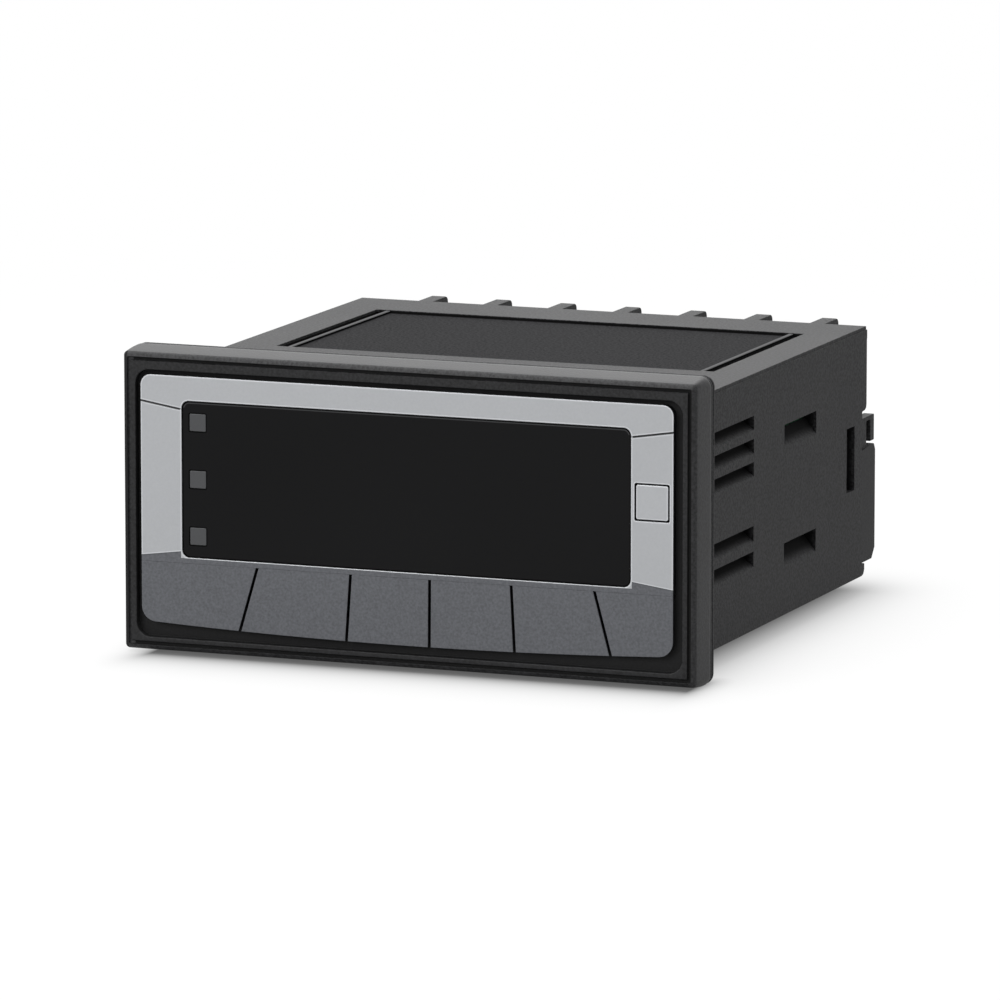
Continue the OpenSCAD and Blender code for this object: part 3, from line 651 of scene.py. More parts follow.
# ---- bezel and gasket ----
# each loop of the front and the sides: how far in, how far behind the face or ahead of the seat, radius
bezelSizes = {"innerSoft": 0.14, "side": 2.7, "top": 3.2, "bottom": 2.6, "openingR": 2.3, "deep": 1.25,
              "floor": 1.5, "skirtWall": 1.3, "ledge": 1.0, "windowGap": 0.08, "flangeLap": 0.5,
              "front": ((1.98, 0, 0.2), (1.94, 0.02, 0.2), (1.83, 0.30, 0.2), (1.77, 0.42, 0.2),
                        (1.50, 0.42, 0.2), (1.36, 0.30, 0.25), (1.32, 0.03, 0.3), (1.28, 0.016, 0.3),
                        (1.02, 0.14, 0.4), (0.82, 0.29, 0.5), (0.68, 0.46, 0.6), (0.60, 0.60, 0.65),
                        (0.55, 0.74, 0.7)),
              "sides": ((0.38, 3.45, 0.95), (0.205, 2.0, 1.2), (0.085, 1.0, 1.5), (0.01, 0.3, 1.75),
                        (0.0, 0.16, 1.8), (0.04, 0.05, 1.8), (0.12, 0.0, 1.75))}


def skirtBox():
    return grown(frontBox("display_board"), 0.15)


def buildBezel():
    s, outer, skirt = bezelSizes, frontBox("bezel_frame"), skirtBox()
    face, skirtEnd = millimetres("bezel_frame")[2:4]
    seatY = millimetres("panel_gasket")[2]
    opening = (outer[0] + s["side"], outer[1] - s["side"], outer[2] + s["bottom"], outer[3] - s["top"])
    r, wall, floorY = s["openingR"], s["skirtWall"], face + s["deep"]
    backY = floorY + s["floor"]
    loops = [ring(opening, -0.2, r - 0.2, floorY), ring(opening, -0.06, r - 0.06, floorY - 0.06),
             ring(opening, 0, r, floorY - 0.2)]
    loops += [ring(opening, out, r + out, face + back) for out, back in roundSteps(s["innerSoft"])]
    loops += [ring(outer, -inset, radius, face + back) for inset, back, radius in s["front"]]
    loops += [ring(outer, -inset, radius, seatY - ahead) for inset, ahead, radius in s["sides"]]
    loops += [ring(skirt, 0, 1, seatY), ring(skirt, 0, 1, skirtEnd - 0.2), ring(skirt, -0.2, 0.9, skirtEnd),
              ring(skirt, 0.1 - wall, 0.5, skirtEnd), ring(skirt, -wall, 0.5, skirtEnd - 0.1),
              ring(skirt, -wall, 0.5, backY)]
    obj = finishMesh("bezel", loft(bmesh.new(), loops), bezelPlastic)
    return carve(obj, bezelCutter(floorY, backY, seatY, skirtEnd), crossing=True)


# window, key posts and the square key's pocket, cut through the bezel's floor
def bezelCutter(floorY, backY, seatY, skirtEnd):
    mesh = bmesh.new()
    s = bezelSizes
    block(mesh, grown(frontBox("window_lens"), s["windowGap"] - s["ledge"]), floorY - 1, backY + 0.5)
    x0, x1, _, _ = frontBox("face_panel")
    low, high = frontBox("key_switch_1")[2:]
    postZ = (low + high) / 2
    block(mesh, (x0 + 2, x1 - 2, postZ - 2.1, postZ + 2.1), floorY - 1, backY + 0.5)
    key = frontBox("square_key")
    block(mesh, grown(key, -s["flangeLap"]), floorY - 1, backY + 0.2)
    block(mesh, grown(key, 0.3), backY, seatY + 0.01)
    x0, _, z0, z1 = frontBox("key_switch_7")
    block(mesh, (x0 - 0.4, skirtBox()[1] + 0.2, z0 - 0.4, z1 + 0.4), seatY - 0.2, skirtEnd + 1)
    for n in (1, 6):
        block(mesh, grown(frontBox(f"key_switch_{n}"), 0.1), backY - 0.02, skirtEnd + 1)
    return mesh


# each loop: how far out, and how far from the front or the rear face
gasketSizes = {"holeX": 45.85, "holeZ": 22.35, "holeR": 1, "corner": 1.8,
               "front": ((-0.3, 0), (-0.06, 0.14), (0, 0.28), (0, 0.60), (-0.05, 0.70), (-0.16, 0.82)),
               "rear": ((-0.16, 0.80), (-0.05, 0.68), (0, 0.58), (0, 0.26), (-0.06, 0.1), (-0.2, 0))}


def buildGasket():
    s, box = gasketSizes, frontBox("panel_gasket")
    y0, y1 = millimetres("panel_gasket")[2:4]
    hole = (-s["holeX"], s["holeX"], -s["holeZ"], s["holeZ"])
    loops = [ring(hole, 0, s["holeR"], y0)]
    loops += [ring(box, out, s["corner"] + out, y0 + back) for out, back in s["front"]]
    loops += [ring(box, out, s["corner"] + out, y1 - ahead) for out, ahead in s["rear"]]
    loops.append(ring(hole, 0, s["holeR"], y1))
    return finishMesh("gasket", loft(bmesh.new(), loops, capped=False), sealRubber)


place(buildBezel(), "meter", "bezel", "bezel_frame")
place(buildGasket(), "meter", "gasket", "panel_gasket")
print("bezel and gasket made")

# ---- face panel and keys ----
panelSizes = {"arcR": 850.0, "topR": 1.7, "bottomR": 2.4, "edge": 0.08, "mitreHalf": 0.16,
              "mitreDeep": 0.13, "mitre": (36.9, 14.78, 44.6, 15.99), "windowR": 1.2,
              "windowEdge": 0.12, "squareR": 0.3, "squareEdge": 0.07, "slotHalf": 0.225,
              "hingeDrop": 0.9, "hingeGap": 0.03, "hingeRoom": 0.1, "keyThick": 0.7, "postHalf": 1,
              "tops": (-0.557, -0.203, 0.095, 0.4, 0.709),  # slots, as shares of the half width
              "feet": (-0.634, -0.221, 0.093, 0.414, 0.78)}


def panelFacts():
    s = panelSizes
    x0, x1, face, floorY, _, top = millimetres("face_panel")
    window = grown(frontBox("window_lens"), bezelSizes["windowGap"])
    lowest = min(frontBox(f"key_{n}")[2] for n in range(1, 7))
    half, arcZ = (x1 - x0) / 2, lowest + s["arcR"]
    cornerX = half - s["bottomR"]
    cornerZ = arcZ - math.sqrt((s["arcR"] - s["bottomR"]) ** 2 - cornerX ** 2)
    return {"cx": (x0 + x1) / 2, "half": half, "face": face, "floor": floorY, "top": top,
            "hole": grown(frontBox("square_key"), -bezelSizes["flangeLap"]), "window": window,
            "hinge": window[2] - s["hingeDrop"], "lowest": lowest, "foot": lowest - 1,
            "arcZ": arcZ, "cornerX": cornerX, "cornerZ": cornerZ}


facts = panelFacts()
faceFilm = faceSkin("faceFilm")
greyFilm = greySkin("greyFilm")
silverCap = silverSkin("silverCap")


# outlines are drawn about the panel's own middle line
def frontLoops(outline, kept, back):
    cx, face = facts["cx"], facts["face"]
    loops = [[(cx + x, back, z) for x, z in outline]]
    for inset, deep in roundSteps(panelSizes["edge"]):
        loops.append([(cx + x, face + deep, z) for x, z in insetOutline(outline, inset, kept)])
    return loops


def buildFacePanel():
    s, half, hinge, r = panelSizes, facts["half"], facts["hinge"], panelSizes["topR"]
    cornerX, cornerZ = half - r, facts["top"] - r
    outline = [(-half, hinge), (half, hinge)] + arc(cornerX, cornerZ, r, 0, 90, 8)
    outline += arc(-cornerX, cornerZ, r, 90, 180, 8)
    loops = frontLoops(outline, (0,), facts["floor"])
    loops[0] = [(x, y, z + s["hingeRoom"] if z < hinge + 0.01 else z) for x, y, z in loops[0]]
    obj = finishMesh("facePanel", loft(bmesh.new(), loops), faceFilm)
    holes, grooves = bmesh.new(), bmesh.new()
    flaredHole(holes, facts["window"], s["windowR"], s["windowEdge"])
    flaredHole(holes, facts["hole"], s["squareR"], s["squareEdge"])
    carve(obj, holes)
    for side in (-1, 1):
        mitreGroove(grooves, side)
    return carve(obj, grooves)


# a hole whose front edge is rounded off
def flaredHole(mesh, box, radius, edge):
    face = facts["face"]
    loops = [ring(box, 0, radius, facts["floor"] + 1)]
    loops += [ring(box, out, radius + out, face + deep) for out, deep in roundSteps(edge, 4)]
    return loft(mesh, loops + [ring(box, edge, radius + edge, face - 1)])


def mitreGroove(mesh, side):
    s, face, cx = panelSizes, facts["face"], facts["cx"]
    x0, z0, x1, z1 = s["mitre"]
    wide = s["mitreHalf"] * 2.5  # at the cutter's own rim, ahead of the face
    return loft(mesh, [[(cx + side * x, face - 0.2, z - wide), (cx + side * x, face + s["mitreDeep"], z),
                        (cx + side * x, face - 0.2, z + wide)] for x, z in ((x0, z0), (x1, z1))])


# x of a slot between two keys, at height z
def slotAt(number, z):
    top, foot = (panelSizes[end][number] * facts["half"] for end in ("tops", "feet"))
    share = (facts["hinge"] - z) / (facts["hinge"] - facts["foot"])
    return top * (1 - share) + foot * share


def arcAt(x):
    return facts["arcZ"] - math.sqrt(panelSizes["arcR"] ** 2 - x * x)


# x where one side of a slot meets the lower edge
def footX(number, side):
    z = facts["lowest"]
    for _ in range(4):
        x = slotAt(number, z) + side * panelSizes["slotHalf"]
        z = arcAt(x)
    return x


def corner(side):
    cx, cz = facts["cornerX"], facts["cornerZ"]
    start = math.degrees(math.atan2(cz - facts["arcZ"], cx))
    points = [(side * x, z) for x, z in arc(cx, cz, panelSizes["bottomR"], start, 0, 8)]
    return points if side > 0 else points[::-1]


# outline of one key, anticlockwise from its upper left corner
def keyOutline(number):
    s, half, hinge = panelSizes, facts["half"], facts["hinge"] - panelSizes["hingeGap"]
    touchX = facts["cornerX"] * s["arcR"] / (s["arcR"] - s["bottomR"])
    first, last = number == 0, number == 5
    lowX = -touchX if first else footX(number - 1, 1)
    highX = touchX if last else footX(number, -1)
    if first:
        points = [(-half, hinge)] + corner(-1)
    else:
        points = [(slotAt(number - 1, hinge) + s["slotHalf"], hinge), (lowX, arcAt(lowX))]
    for k in range(1, 12):
        x = lowX + (highX - lowX) * k / 12
        points.append((x, arcAt(x)))
    if last:
        return points + corner(1) + [(half, hinge)]
    return points + [(highX, arcAt(highX)), (slotAt(number, hinge) - s["slotHalf"], hinge)]


# a key's post, over the middle of its switch
def postBox(number):
    x0, x1, z0, z1 = frontBox(f"key_switch_{number}")
    cx, cz, half = (x0 + x1) / 2, (z0 + z1) / 2, panelSizes["postHalf"]
    return cx - half, cx + half, cz - half, cz + half


def buildKey(number):
    outline = keyOutline(number)
    backY = facts["face"] + panelSizes["keyThick"]
    loops = frontLoops(outline, (len(outline) - 1,), backY)
    highest = facts["hinge"] - panelSizes["hingeRoom"] / 2
    loops[0] = [(x, y, min(z, highest)) for x, y, z in loops[0]]
    obj = finishMesh(f"key{number + 1}", loft(bmesh.new(), loops), greyFilm)
    box, end = postBox(number + 1), millimetres(f"key_{number + 1}")[3]
    post = [ring(box, 0, 0.2, backY - 0.2, 3), ring(box, 0, 0.2, end - 0.2, 3), ring(box, -0.1, 0.2, end, 3)]
    return carve(obj, loft(bmesh.new(), post), "UNION")


place(buildFacePanel(), "meter", "panel", "face_panel")
for number in range(6):
    place(buildKey(number), f"key_{number + 1}", "keys", f"key_{number + 1}")
print("face and keys made")

squareSizes = {"capIn": 0.75, "corner": 0.3, "edge": 0.12, "flangeGap": 0.05, "flange": 0.7}


def buildSquareKey():
    s, flange, post = squareSizes, frontBox("square_key"), postBox(7)
    cap, r = grown(flange, -s["capIn"]), s["corner"]
    frontY = facts["floor"] + bezelSizes["floor"] + s["flangeGap"]
    backY = frontY + s["flange"]
    loops = [ring(cap, -inset, max(r - inset, 0.1), facts["face"] + deep)
             for inset, deep in reversed(roundSteps(s["edge"], 4))]
    loops += [ring(cap, 0, r, frontY), ring(flange, 0, r, frontY), ring(flange, 0, r, backY),
              ring(post, 0, 0.2, backY), ring(post, 0, 0.2, millimetres("square_key")[3])]
    return finishMesh("squareKey", loft(bmesh.new(), loops), silverCap)


place(buildSquareKey(), "square_key", "panel", "square_key")

# ---- window and lights ----
lensSizes = {"corner": 1.12, "edge": 0.1, "guideR": 0.2, "guideEdge": 0.16, "guideGap": 0.05, "shaft": 2.2}


def buildLens():
    s, box = lensSizes, frontBox("window_lens")
    y0, y1 = millimetres("window_lens")[2:4]
    edge, r = s["edge"], s["corner"]
    loops = [ring(box, -edge, r - edge, y0), ring(box, -edge * 0.3, r, y0 + edge * 0.3),
             ring(box, 0, r, y0 + edge), ring(box, 0, r, y1)]
    obj = finishMesh("windowLens", loft(bmesh.new(), loops), lensBlack)
    holes = bmesh.new()
    for n in (1, 2, 3):
        hole = grown(frontBox(f"light_guide_{n}"), s["guideGap"])
        loft(holes, [ring(hole, 0, s["guideR"], y1 + 0.5), ring(hole, 0, s["guideR"], y0 - 0.5)])
    return carve(obj, holes)


def buildGuide(n):
    x0, x1, y0, y1, _, _ = millimetres(f"light_guide_{n}")
    s, box, floorY = lensSizes, frontBox(f"light_guide_{n}"), facts["floor"]
    edge, r, thin = s["guideEdge"], s["guideR"], (x1 - x0 - s["shaft"]) / 2
    loops = [ring(box, -edge, 0.15, y0), ring(box, -edge * 0.35, r, y0 + edge * 0.3),
             ring(box, 0, r, y0 + edge), ring(box, 0, r, floorY),
             ring(box, -thin, r, floorY), ring(box, -thin, r, y1)]
    return finishMesh(f"lightGuide{n}", loft(bmesh.new(), loops), guideGrey)


place(buildLens(), "meter", "lens", "window_lens")
for n in (1, 2, 3):
    place(buildGuide(n), "meter", "light_guide", f"light_guide_{n}")
print("window made")

# ---- case ----
caseSizes = {"wall": 2.0, "fit": 0.3, "corner": 0.25, "soft": 0.08, "roofPast": 2.2, "solePast": 1.5,
             "notchDown": 13.55, "shoulderLong": 3.0, "rebateWide": 0.2, "rebateTall": 0.55,
             "finPast": 6.9, "finTall": 11.5, "finThick": 2.7, "finSoft": 0.2,
             "recessHalf": 36.85, "recessShift": 0.35, "recessLong": 42.4, "recessRear": 9.3,
             "recessDeep": 1.0, "recessSlot": 1.7, "openingSoft": 0.08, "sill": 0.7,
             "vents": {"front": 7.0, "long": 21.7, "down": 7.7, "tall": 2.2, "pitch": 3.65,
                       "lowUp": 15.4, "lowTall": 2.4, "lowPitch": 4.05},
             "pockets": {"front": 43.0, "long": 15.0, "tall": 3.65, "down": 12.0, "up": 9.7},
             "latch": {"rear": 3.8, "long": 3.8, "tall": 10.4, "shift": -0.3}}
terminalSizes = {"count": 7, "headR": 2.7, "headH": 2.0, "shankR": 1.45, "slotHalf": 0.4,
                 "slotDeep": 0.9, "crossHalf": 1.7}


def caseFacts():
    s, shell = caseSizes, millimetres("case_shell")
    inner = grown(frontBox("display_board"), s["fit"])
    outer = grown(inner, s["wall"])
    roof = shell[3] - s["finPast"]
    return {"inner": inner, "outer": outer, "half": outer[1], "low": outer[2], "top": outer[3],
            "roof": roof, "sides": roof - s["roofPast"], "front": shell[2],
            "shoulder": frontBox("case_shell")}


shellFacts = caseFacts()


# first terminal's place across the case, and the step to the next
def terminalRow():
    x0, x1, _, _ = frontBox("terminal_screws")
    headR = terminalSizes["headR"]
    return x0 + headR, (x1 - x0 - 2 * headR) / (terminalSizes["count"] - 1)


def sidePrism(profile, x0, x1):
    return loft(bmesh.new(), [[(x, y, z) for y, z in profile] for x in (x0, x1)])


# seen from the side: a stepped rear, its roof furthest back
def rearProfile():
    s, f = caseSizes, shellFacts
    roof, sides, wall = f["roof"], f["sides"], s["wall"]
    low, top, notch, sole = f["low"], f["top"], f["top"] - s["notchDown"], sides + s["solePast"]
    return [(f["front"], low - 5), (sole - 1.3 - 1e-3, low - 5), (sole - 1.3, low),
            (sole - 0.4, low + 0.35), (sole, low + 1), (sole, low + wall), (sides, low + wall),
            (sides, notch - 0.1), (roof - 0.9, notch), (roof - 0.3, notch + 0.3),
            (roof - 0.1, notch + 0.9), (roof - 0.1, top - wall),
            (roof, top - wall), (roof, top + 5), (f["front"], top + 5)]


# depth and growth of each loop of a cut whose outer edge is rounded off
def softCut(depths, ahead):
    soft = caseSizes["openingSoft"]
    outer = [(soft, 0), (soft * 0.3, soft * 0.3), (0, soft), (-ahead, soft)]
    return [(depth, 0) for depth in depths] + outer


# louvred opening with a sloped sill
def openingCutter(mesh, side, y, z, long, tall, rise):
    half, wall = shellFacts["half"], caseSizes["wall"]
    foot, head = z - tall / 2, z + tall / 2
    loops = []
    for depth, grow in softCut((wall + 0.5, wall), 0.5):
        lift = rise * min(max(depth, 0), wall) / wall
        x = side * (half - depth)
        loops.append([(x, y - grow, foot + lift - grow), (x, y + long + grow, foot + lift - grow),
                      (x, y + long + grow, head + grow), (x, y - grow, head + grow)])
    loft(mesh, loops)


def sideCutters(mesh):
    s, top, low = caseSizes, shellFacts["top"], shellFacts["low"]
    v, p, catch = s["vents"], s["pockets"], s["latch"]
    rows = [(v["front"], top - v["down"] - k * v["pitch"], v["long"], v["tall"]) for k in range(3)]
    rows += [(v["front"], low + v["lowUp"] - k * v["lowPitch"], v["long"], v["lowTall"]) for k in range(2)]
    rows += [(p["front"], z, p["long"], p["tall"]) for z in (top - p["down"], low + p["up"])]
    catchY, catchZ = shellFacts["sides"] - catch["rear"] - catch["long"], (top + low) / 2 + catch["shift"]
    for side in (-1, 1):
        for y, z, long, tall in rows:
            openingCutter(mesh, side, y, z, long, tall, tall * s["sill"])
        openingCutter(mesh, side, catchY, catchZ, catch["long"], catch["tall"], 0)


def recessArea():
    s = caseSizes
    y1 = shellFacts["sides"] - s["recessRear"]
    return s["recessShift"] - s["recessHalf"], s["recessShift"] + s["recessHalf"], y1 - s["recessLong"], y1


def recessCutter():
    x0, x1, y0, y1 = recessArea()
    loops = []
    for depth, grow in softCut((caseSizes["recessDeep"],), 1):
        z = shellFacts["top"] - depth
        loops.append([(x0 - grow, y0 - grow, z), (x1 + grow, y0 - grow, z),
                      (x1 + grow, y1 + grow, z), (x0 - grow, y1 + grow, z)])
    return loft(bmesh.new(), loops)


# slots through the wall, along both sides of the recess
def slotCutters(mesh):
    x0, x1, y0, y1 = recessArea()
    wide, top = caseSizes["recessSlot"], shellFacts["top"]
    for a, b in ((x0, x0 + wide), (x1 - wide, x1)):
        block(mesh, (a, b, top - caseSizes["wall"] - 1, top - 0.5), y0 + 1, y1 - 0.4)


def buildFins():
    s, top = caseSizes, shellFacts["top"]
    roof, foot, end = shellFacts["roof"], top - s["finTall"], shellFacts["roof"] + s["finPast"]
    profile = [(roof - 2, top - 0.5), (roof - 2, foot), (end - 2, foot), (end, foot + 2),
               (end, top - 0.9), (end - 0.08, top - 0.55), (end - 0.28, top - 0.27), (end - 0.55, top - 0.07),
               (end - 0.85, top), (roof - 1, top)]
    fin = finishMesh("fin", sidePrism(profile, -s["finThick"] / 2, s["finThick"] / 2), casePlastic)
    first, pitch = terminalRow()
    return rowOf(softened(fin, s["finSoft"]), terminalSizes["count"], pitch, (first + pitch / 2, 0, 0))


# section of the case: rounded edges below, a small rebate along each edge above
def caseOutline(x0, x1, z0, z1):
    wide, tall, r = caseSizes["rebateWide"], caseSizes["rebateTall"], caseSizes["corner"]
    points = [(x1 - wide, z1), (x0 + wide, z1), (x0 + wide, z1 - tall), (x0, z1 - tall)]
    points += arc(x0 + r, z0 + r, r, 180, 270, 6) + arc(x1 - r, z0 + r, r, 270, 360, 6)
    return points + [(x1, z1 - tall), (x1 - wide, z1 - tall)]


def buildCase():
    s, f = caseSizes, shellFacts
    front, inner, collarEnd = f["front"], f["inner"], s["shoulderLong"]
    body = [[(x, y, z) for x, z in caseOutline(*f["outer"])] for y in (front, f["roof"] + 5)]
    obj = finishMesh("case", loft(bmesh.new(), body), casePlastic)
    carve(obj, sidePrism(rearProfile(), -2 * f["half"], 2 * f["half"]), "INTERSECT")
    softened(obj, s["soft"])
    carve(obj, block(bmesh.new(), inner, front - 3, f["roof"] + 9))
    carve(obj, recessCutter())
    openings = bmesh.new()
    sideCutters(openings)
    slotCutters(openings)
    carve(obj, openings)
    collar = [ring(f["shoulder"], out, radius, y) for out, radius, y in (
        (0, 1, front), (0, 1, collarEnd - 0.3), (-0.1, 0.95, collarEnd - 0.08), (-0.3, 0.8, collarEnd))]
    shoulder = finishMesh("shoulder", loft(bmesh.new(), collar), casePlastic)
    carve(shoulder, block(bmesh.new(), inner, front - 3, collarEnd + 3))
    carve(obj, shoulder, "UNION")
    return carve(obj, buildFins(), "UNION")


inlaySizes = {"rail": 0.75, "rise": 0.4, "soft": 0.08}


# a shallow tray: two rails with a lower floor between them
def buildInlay():
    x0, x1, y0, y1, z0, z1 = millimetres("top_label_plate")
    s = inlaySizes
    soft, a, b, floorZ = s["soft"], x0 + s["rail"], x1 - s["rail"], z1 - s["rise"]
    section = [(x0, z0), (x1, z0), (x1, z1 - soft), (x1 - soft, z1), (b + soft, z1), (b, z1 - soft),
               (b, floorZ), (a, floorZ), (a, z1 - soft), (a - soft, z1), (x0 + soft, z1), (x0, z1 - soft)]
    loops = [[(x, y, z) for x, z in section] for y in (y0, y1)]
    return finishMesh("labelInlay", loft(bmesh.new(), loops), inlayPlastic, False)


place(buildCase(), "meter", "case", "case_shell")
place(buildInlay(), "meter", "label", "top_label_plate")
print("case made")

# ---- rear: cover, block, clamps and screws ----
rearSizes = {"coverSoft": 0.12, "blockSoft": 0.14, "screwSoft": 0.06, "clampSoft": 0.07, "clampR": 0.5,
             "clampHoleR": 1.55, "ridgeIn": 0.35, "ridgePitch": 0.5, "ridgeHalf": 0.12,
             "plugCount": 10, "plugSlotHalf": 0.3, "plugSlotDeep": 0.8, "plugTurn": 1.2}


def turnedLoop(radius, y, steps=40):
    return [(x, y, z) for x, z in arc(0, 0, radius, 0, 360, steps)[:-1]]


# a screw along y with its head's foot at zero; one slot, or a cross
def screwPattern(name, headR, headH, slotHalf, slotDeep, crossHalf=0, shankR=0, shankL=0):
    loops = [turnedLoop(headR - 0.5, headH), turnedLoop(headR - 0.25, headH - 0.08),
             turnedLoop(headR - 0.07, headH - 0.25), turnedLoop(headR, headH - 0.5),
             turnedLoop(headR, 0.1), turnedLoop(headR - 0.1, 0)]
    if shankL:
        loops += [turnedLoop(shankR, 0), turnedLoop(shankR, 0.3 - shankL), turnedLoop(shankR - 0.3, -shankL)]
    obj = finishMesh(name, loft(bmesh.new(), loops), zincSteel)
    slots = block(bmesh.new(), (-headR - 1, headR + 1, -slotHalf, slotHalf), headH - slotDeep, headH + 1)
    if crossHalf:
        block(slots, (-slotHalf, slotHalf, -crossHalf, crossHalf), headH - slotDeep, headH + 1)
    carve(obj, slots, crossing=True)
    return softened(obj, rearSizes["screwSoft"])


def buildTerminalScrews():
    _, _, y0, y1, z0, z1 = millimetres("terminal_screws")
    s = terminalSizes
    seat = y1 - s["headH"]
    obj = screwPattern("terminalScrews", s["headR"], s["headH"], s["slotHalf"], s["slotDeep"],
                       s["crossHalf"], s["shankR"], seat - y0)
    first, pitch = terminalRow()
    return rowOf(obj, s["count"], pitch, (first, seat, (z0 + z1) / 2))


def buildClamps():
    x0, x1, y0, y1, z0, z1 = millimetres("terminal_clamps")
    s, pitch, tall = rearSizes, terminalRow()[1], (z1 - z0) / 2
    half = (x1 - x0 - (terminalSizes["count"] - 1) * pitch) / 2
    plate = (-half, half, -tall, tall)
    loops = [ring(plate, 0, s["clampR"], y, 4) for y in (0, y1 - y0)]
    obj = finishMesh("terminalClamps", loft(bmesh.new(), loops), zincSteel)
    carve(obj, loft(bmesh.new(), [turnedLoop(s["clampHoleR"], -1), turnedLoop(s["clampHoleR"], 2)]))
    ridges, wide = bmesh.new(), s["ridgeHalf"]
    for side in (-1, 1):
        for k in range(3):
            x = side * (half - s["ridgeIn"] - s["ridgePitch"] * k)
            loft(ridges, [[(x - wide, -0.01, z), (x + wide, -0.01, z), (x, wide, z)]
                          for z in (-tall - 1, tall + 1)])
    carve(obj, ridges)
    softened(obj, s["clampSoft"])
    return rowOf(obj, terminalSizes["count"], pitch, (x0 + half, y0, (z0 + z1) / 2))


def buildPlugScrews():
    x0, x1, y0, y1, z0, z1 = millimetres("plug_screws")
    s, r = rearSizes, (z1 - z0) / 2
    obj = screwPattern("plugScrews", r, y1 - y0, s["plugSlotHalf"], s["plugSlotDeep"])
    pitch = (x1 - x0 - 2 * r) / (s["plugCount"] - 1)
    return rowOf(obj, s["plugCount"], pitch, (x0 + r, y0, (z0 + z1) / 2), s["plugTurn"])


rearCover = softened(cadCopy("rear_cover", "rearCover", casePlastic), rearSizes["coverSoft"])
plugBlock = softened(cadCopy("plug_block", "plugBlock", blockPlastic), rearSizes["blockSoft"])
place(rearCover, "meter", "case", "rear_cover")
place(plugBlock, "plug", "case", "plug_block")
place(buildTerminalScrews(), "meter", "steel", "terminal_screws")
place(buildClamps(), "meter", "steel", "terminal_clamps")
place(buildPlugScrews(), "plug", "steel", "plug_screws")
print("rear made")

# ---- inside: carried-over pieces with their own finishes ----
plainFinishes = {
    "chipEpoxy": ((0.02, 0.02, 0.022), 0.45, ["processor"]),
    "headerBlack": ((0.018, 0.018, 0.018), 0.45, ["board_link"]),
    "ledResin": ((0.75, 0.72, 0.58), 0.25, ["indicator_leds"]),
    "fuseGlass": ((0.62, 0.66, 0.66), 0.12, ["fuse"]),
    "relayBlue": ((0.02, 0.05, 0.16), 0.35, ["relay_1", "relay_2"]),
    "canSleeve": ((0.03, 0.03, 0.12), 0.3, ["capacitor_1", "capacitor_2"]),
    "digitGrey": ((0.06, 0.06, 0.062), 0.5, [f"digit_{n}" for n in range(1, 6)]),
    "switchBlack": ((0.02, 0.02, 0.021), 0.4, [f"key_switch_{n}" for n in range(1, 8)])}
insideFinishes = [(brass, ["terminal_contacts", "plug_pins"]), (coreSteel("coreSteel"), ["transformer"]),
                  (boardGreen, ["display_board", "main_board", "power_board"])]
for name, (colour, rough, nodes) in plainFinishes.items():
    insideFinishes.append((smallFinish(name, "plain", colour, rough), nodes))
for finish, nodes in insideFinishes:
    for node in nodes:
        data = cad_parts[node].data
        data.materials.clear()
        data.materials.append(finish)
print("inside finished")

# ---- floor, light and camera ----
stageSizes = {"floor": 6.0, "floorTone": 0.45, "seenTone": 0.95, "seenGlow": 0.88,
              "fadeFrom": 0.16, "fadeTo": 0.45, "sky": 0.3,
              "underBezel": (-43, 46, -7.1, 0), "sideways": 2.2, "bezelShade": (0.87, 4.6, 1.0),
              "underCase": (-30, 36.3, 0, 84), "caseShade": (0.9, 8.2, 1.5)}


# 1 where a surface is seen, straight, mirrored or through glass
def seenRays(tree):
    seen = addNode(tree, "ShaderNodeLightPath", out="Is Camera Ray")
    rays = seen.socket.node.outputs
    return seen.larger(Wire(tree, rays["Is Glossy Ray"])).larger(Wire(tree, rays["Is Transmission Ray"]))


# painted shadow on the floor that fades with the distance from a box: most, reach and power
def fadingShade(gap, most, reach, power):
    return ((gap / (reach * mm)) ** power).fading() * most


# white where it is seen, with a painted shadow round the footprint over a small share of the object's real
# shadow; a plain grey for the light that it throws back
def floorPaper():
    f = Finish("floorPaper")
    s = stageSizes
    x, y, _ = f.axes()
    x0, x1, y0, y1 = s["underBezel"]
    side = s["sideways"]
    underBezel = awayFrom(x * side, y, (x0 * side, x1 * side, y0, y1), 0.01).larger(0)
    underCase = awayFrom(x, y, s["underCase"], 0.01).larger(0)
    shadow = fadingShade(underBezel, *s["bezelShade"]).larger(fadingShade(underCase, *s["caseShade"]))
    shadowPaint = f.mix(shadow, (1, 1, 1, 1), (0, 0, 0, 1))
    glow = f.node("ShaderNodeEmission", sockets={"Color": shadowPaint, "Strength": 1.0})
    grey = tone((1, 1, 1), s["floorTone"])
    grain = f.mix(f.noise(60) + 0.5, tone(grey, 0.99), grey)
    dull = f.node("ShaderNodeBsdfDiffuse", sockets={"Color": grain})
    seen = f.node("ShaderNodeBsdfDiffuse", sockets={"Color": tone((1, 1, 1), s["seenTone"])})
    reach = f.node("ShaderNodeVectorMath", {"operation": "LENGTH"}, {"Vector": f.place}, "Value")
    fade = f.node("ShaderNodeMapRange", {"interpolation_type": "SMOOTHSTEP"},
                  {"Value": reach, "From Min": s["fadeFrom"], "From Max": s["fadeTo"],
                   "To Min": s["seenGlow"], "To Max": 1.0})
    return f.end(f.blend(seenRays(f.tree), dull, f.blend(fade, seen, glow)))


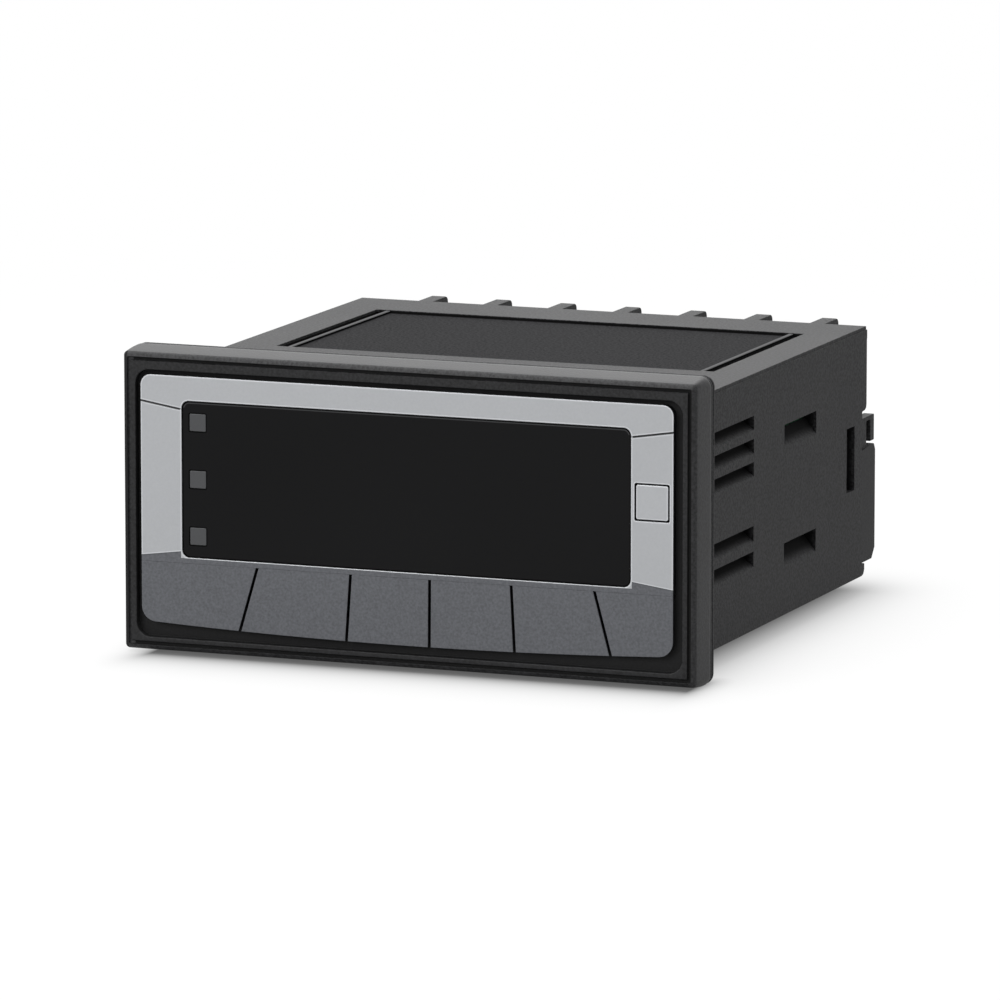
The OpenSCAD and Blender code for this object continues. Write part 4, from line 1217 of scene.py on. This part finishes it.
half, low = stageSizes["floor"] / mm, cadBox[0].z / mm - 0.01
corners = ((-half, -half), (half, -half), (half, half), (-half, half))
paper = bmesh.new()
paper.faces.new([paper.verts.new((x, y, low)) for x, y in corners])
floor = finishMesh("floor", paper, floorPaper(), False)
if floor.data.polygons[0].normal.z < 0:
    floor.data.flip_normals()

# white where it is seen, and an even grey for the light it gives
scene.world = bpy.data.worlds.new("studio")
scene.world.use_nodes = True
sky = scene.world.node_tree
background = sky.nodes["Background"].inputs
background["Color"].default_value = (1, 1, 1, 1)
strength = seenRays(sky) * (1 - stageSizes["sky"]) + stageSizes["sky"]
sky.links.new(strength.socket, background["Strength"])

# brightness is the lamp's own radiance, so its power follows from its size
softboxes = {
    "overhead": {"at": (-0.1, 0.0, 1.1), "size": (1.3, 1.1), "bright": 3.0},
    "front": {"at": (-0.7, -1.3, 0.75), "size": (1.0, 0.8), "bright": 5.0},
    "backLeft": {"at": (-0.75, 1.6, 0.9), "size": (1.5, 1.5), "bright": 1.8}}


def aimed(name, data, at, along):
    obj = bpy.data.objects.new(name, data)
    scene.collection.objects.link(obj)
    obj.location = at
    obj.rotation_mode = "QUATERNION"
    obj.rotation_quaternion = along.to_track_quat("-Z", "Y")
    return obj


for name, sizes in softboxes.items():
    lamp = bpy.data.lights.new(name, "AREA")
    lamp.shape = "RECTANGLE"
    lamp.size, lamp.size_y = sizes["size"]
    lamp.energy = sizes["bright"] * math.pi * lamp.size * lamp.size_y
    at = Vector(sizes["at"])
    aimed(name, lamp, at, Vector((0, 0.04, 0)) - at).visible_camera = False

cameraSizes = {"azimuth": 21.28, "elevation": 9.60, "distance": 1.4267, "lens": 325.8,
               "target": (0.001078, 0.030, -0.00290), "near": 0.05, "far": 50}
cameraData = bpy.data.cameras.new("camera")
cameraData.sensor_width = 36
cameraData.lens = cameraSizes["lens"]
cameraData.clip_start = cameraSizes["near"]
cameraData.clip_end = cameraSizes["far"]
turn, rise = math.radians(cameraSizes["azimuth"]), math.radians(cameraSizes["elevation"])
back = Vector((math.sin(turn) * math.cos(rise), -math.cos(turn) * math.cos(rise), math.sin(rise)))
at = Vector(cameraSizes["target"]) + back * cameraSizes["distance"]
scene.camera = aimed("camera", cameraData, at, -back)
scene.view_settings.view_transform = "Standard"
print("stage set")
